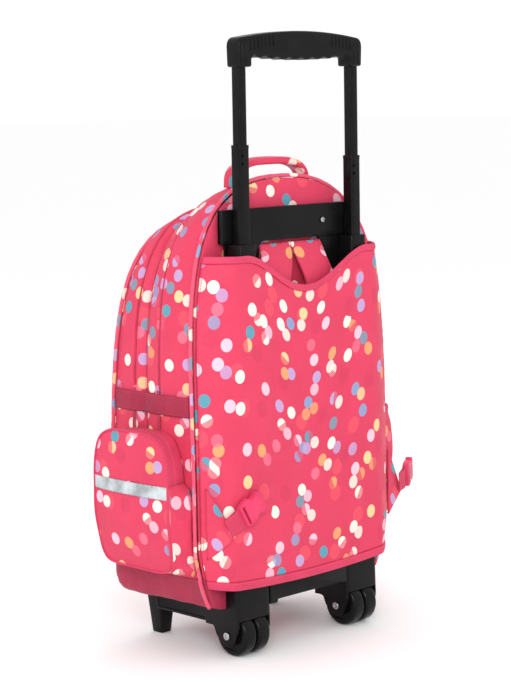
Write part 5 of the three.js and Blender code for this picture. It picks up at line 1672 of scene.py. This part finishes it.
class BACKPACK_OT_stage(bpy.types.Operator):
    """Sets the pale floor, the soft studio lights and the camera"""

    bl_idname = "backpack.stage"
    bl_label = "Studio"

    def execute(self, context):
        scene = context.scene
        bpy.ops.mesh.primitive_plane_add(size=60, location=(0, 0, -0.0004))
        floor = settle(context.active_object, "studio_floor")
        graph = Graph("studio_floor")
        floor.data.materials.append(graph.finish((0.985, 0.985, 0.985, 1), 0.9, Specular_IOR_Level=0.1))
        world = bpy.data.worlds.new("studio_world")
        world.use_nodes = True
        world.node_tree.nodes["Background"].inputs[0].default_value = (1, 1, 1, 1)
        world.node_tree.nodes["Background"].inputs[1].default_value = 1.0
        scene.world = world
        aim = Vector((0, 0, 0.36))
        for name, place, size, watts in (
                ("key_light", (-1.9, -1.9, 1.4), 0.9, 34),
                ("fill_light", (-2.6, 0.9, 1.4), 2.0, 4),
                ("rim_light", (1.6, 1.2, 2.2), 1.6, 8)):
            bpy.ops.object.light_add(type="AREA", location=place)
            lamp = context.active_object
            lamp.name = name
            lamp.data.size = size
            lamp.data.energy = watts
            lamp.rotation_euler = (aim - lamp.location).to_track_quat("-Z", "Y").to_euler()
        forward = Vector((0.69584, 0.70692, -0.12674)).normalized()
        right = forward.cross(Vector((0, 0, 1))).normalized()
        up = right.cross(forward)
        roll = math.radians(-0.974)
        turned_right = right * math.cos(roll) + up * math.sin(roll)
        turned_up = up * math.cos(roll) - right * math.sin(roll)
        camera_data = bpy.data.cameras.new("photo_camera")
        camera_data.lens = 105.07
        camera_data.sensor_width = 36
        camera = bpy.data.objects.new("photo_camera", camera_data)
        scene.collection.objects.link(camera)
        frame = Matrix((turned_right, turned_up, -forward)).transposed().to_4x4()
        camera.matrix_world = Matrix.Translation(spot(-64.661, 0, 359.951) - forward * 2.3) @ frame
        scene.camera = camera
        scene.view_settings.view_transform = "Standard"
        scene.view_settings.exposure = 0
        return {"FINISHED"}


STEPS = ("handle", "grip", "bracket", "base", "bag", "pockets", "cover", "straps", "trims", "stage")


class BACKPACK_PT_panel(bpy.types.Panel):
    """Lists the steps that build the backpack"""

    bl_idname = "BACKPACK_PT_panel"
    bl_label = "Backpack"
    bl_space_type = "VIEW_3D"
    bl_region_type = "UI"
    bl_category = "Backpack"

    def draw(self, context):
        for name in BackpackSizes.__annotations__:
            self.layout.prop(context.scene.backpack_sizes, name)
        for name in BackpackColours.__annotations__:
            self.layout.prop(context.scene.backpack_colours, name)
        for step in STEPS:
            self.layout.operator(f"backpack.{step}")


CLASSES = (
    BackpackSizes, BackpackColours, BACKPACK_OT_handle, BACKPACK_OT_grip, BACKPACK_OT_bracket,
    BACKPACK_OT_base, BACKPACK_OT_bag, BACKPACK_OT_pockets, BACKPACK_OT_cover, BACKPACK_OT_straps,
    BACKPACK_OT_trims, BACKPACK_OT_stage, BACKPACK_PT_panel,
)


def register():
    for made in CLASSES:
        bpy.utils.register_class(made)
    bpy.types.Scene.backpack_sizes = bpy.props.PointerProperty(type=BackpackSizes)
    bpy.types.Scene.backpack_colours = bpy.props.PointerProperty(type=BackpackColours)


def unregister():
    del bpy.types.Scene.backpack_colours
    del bpy.types.Scene.backpack_sizes
    for made in reversed(CLASSES):
        bpy.utils.unregister_class(made)


def main():
    register()
    for step in STEPS:
        if getattr(bpy.ops.backpack, step)() != {"FINISHED"}:
            raise RuntimeError(f"{step} was not finished")
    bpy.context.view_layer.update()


if __name__ == "__main__":
    main()
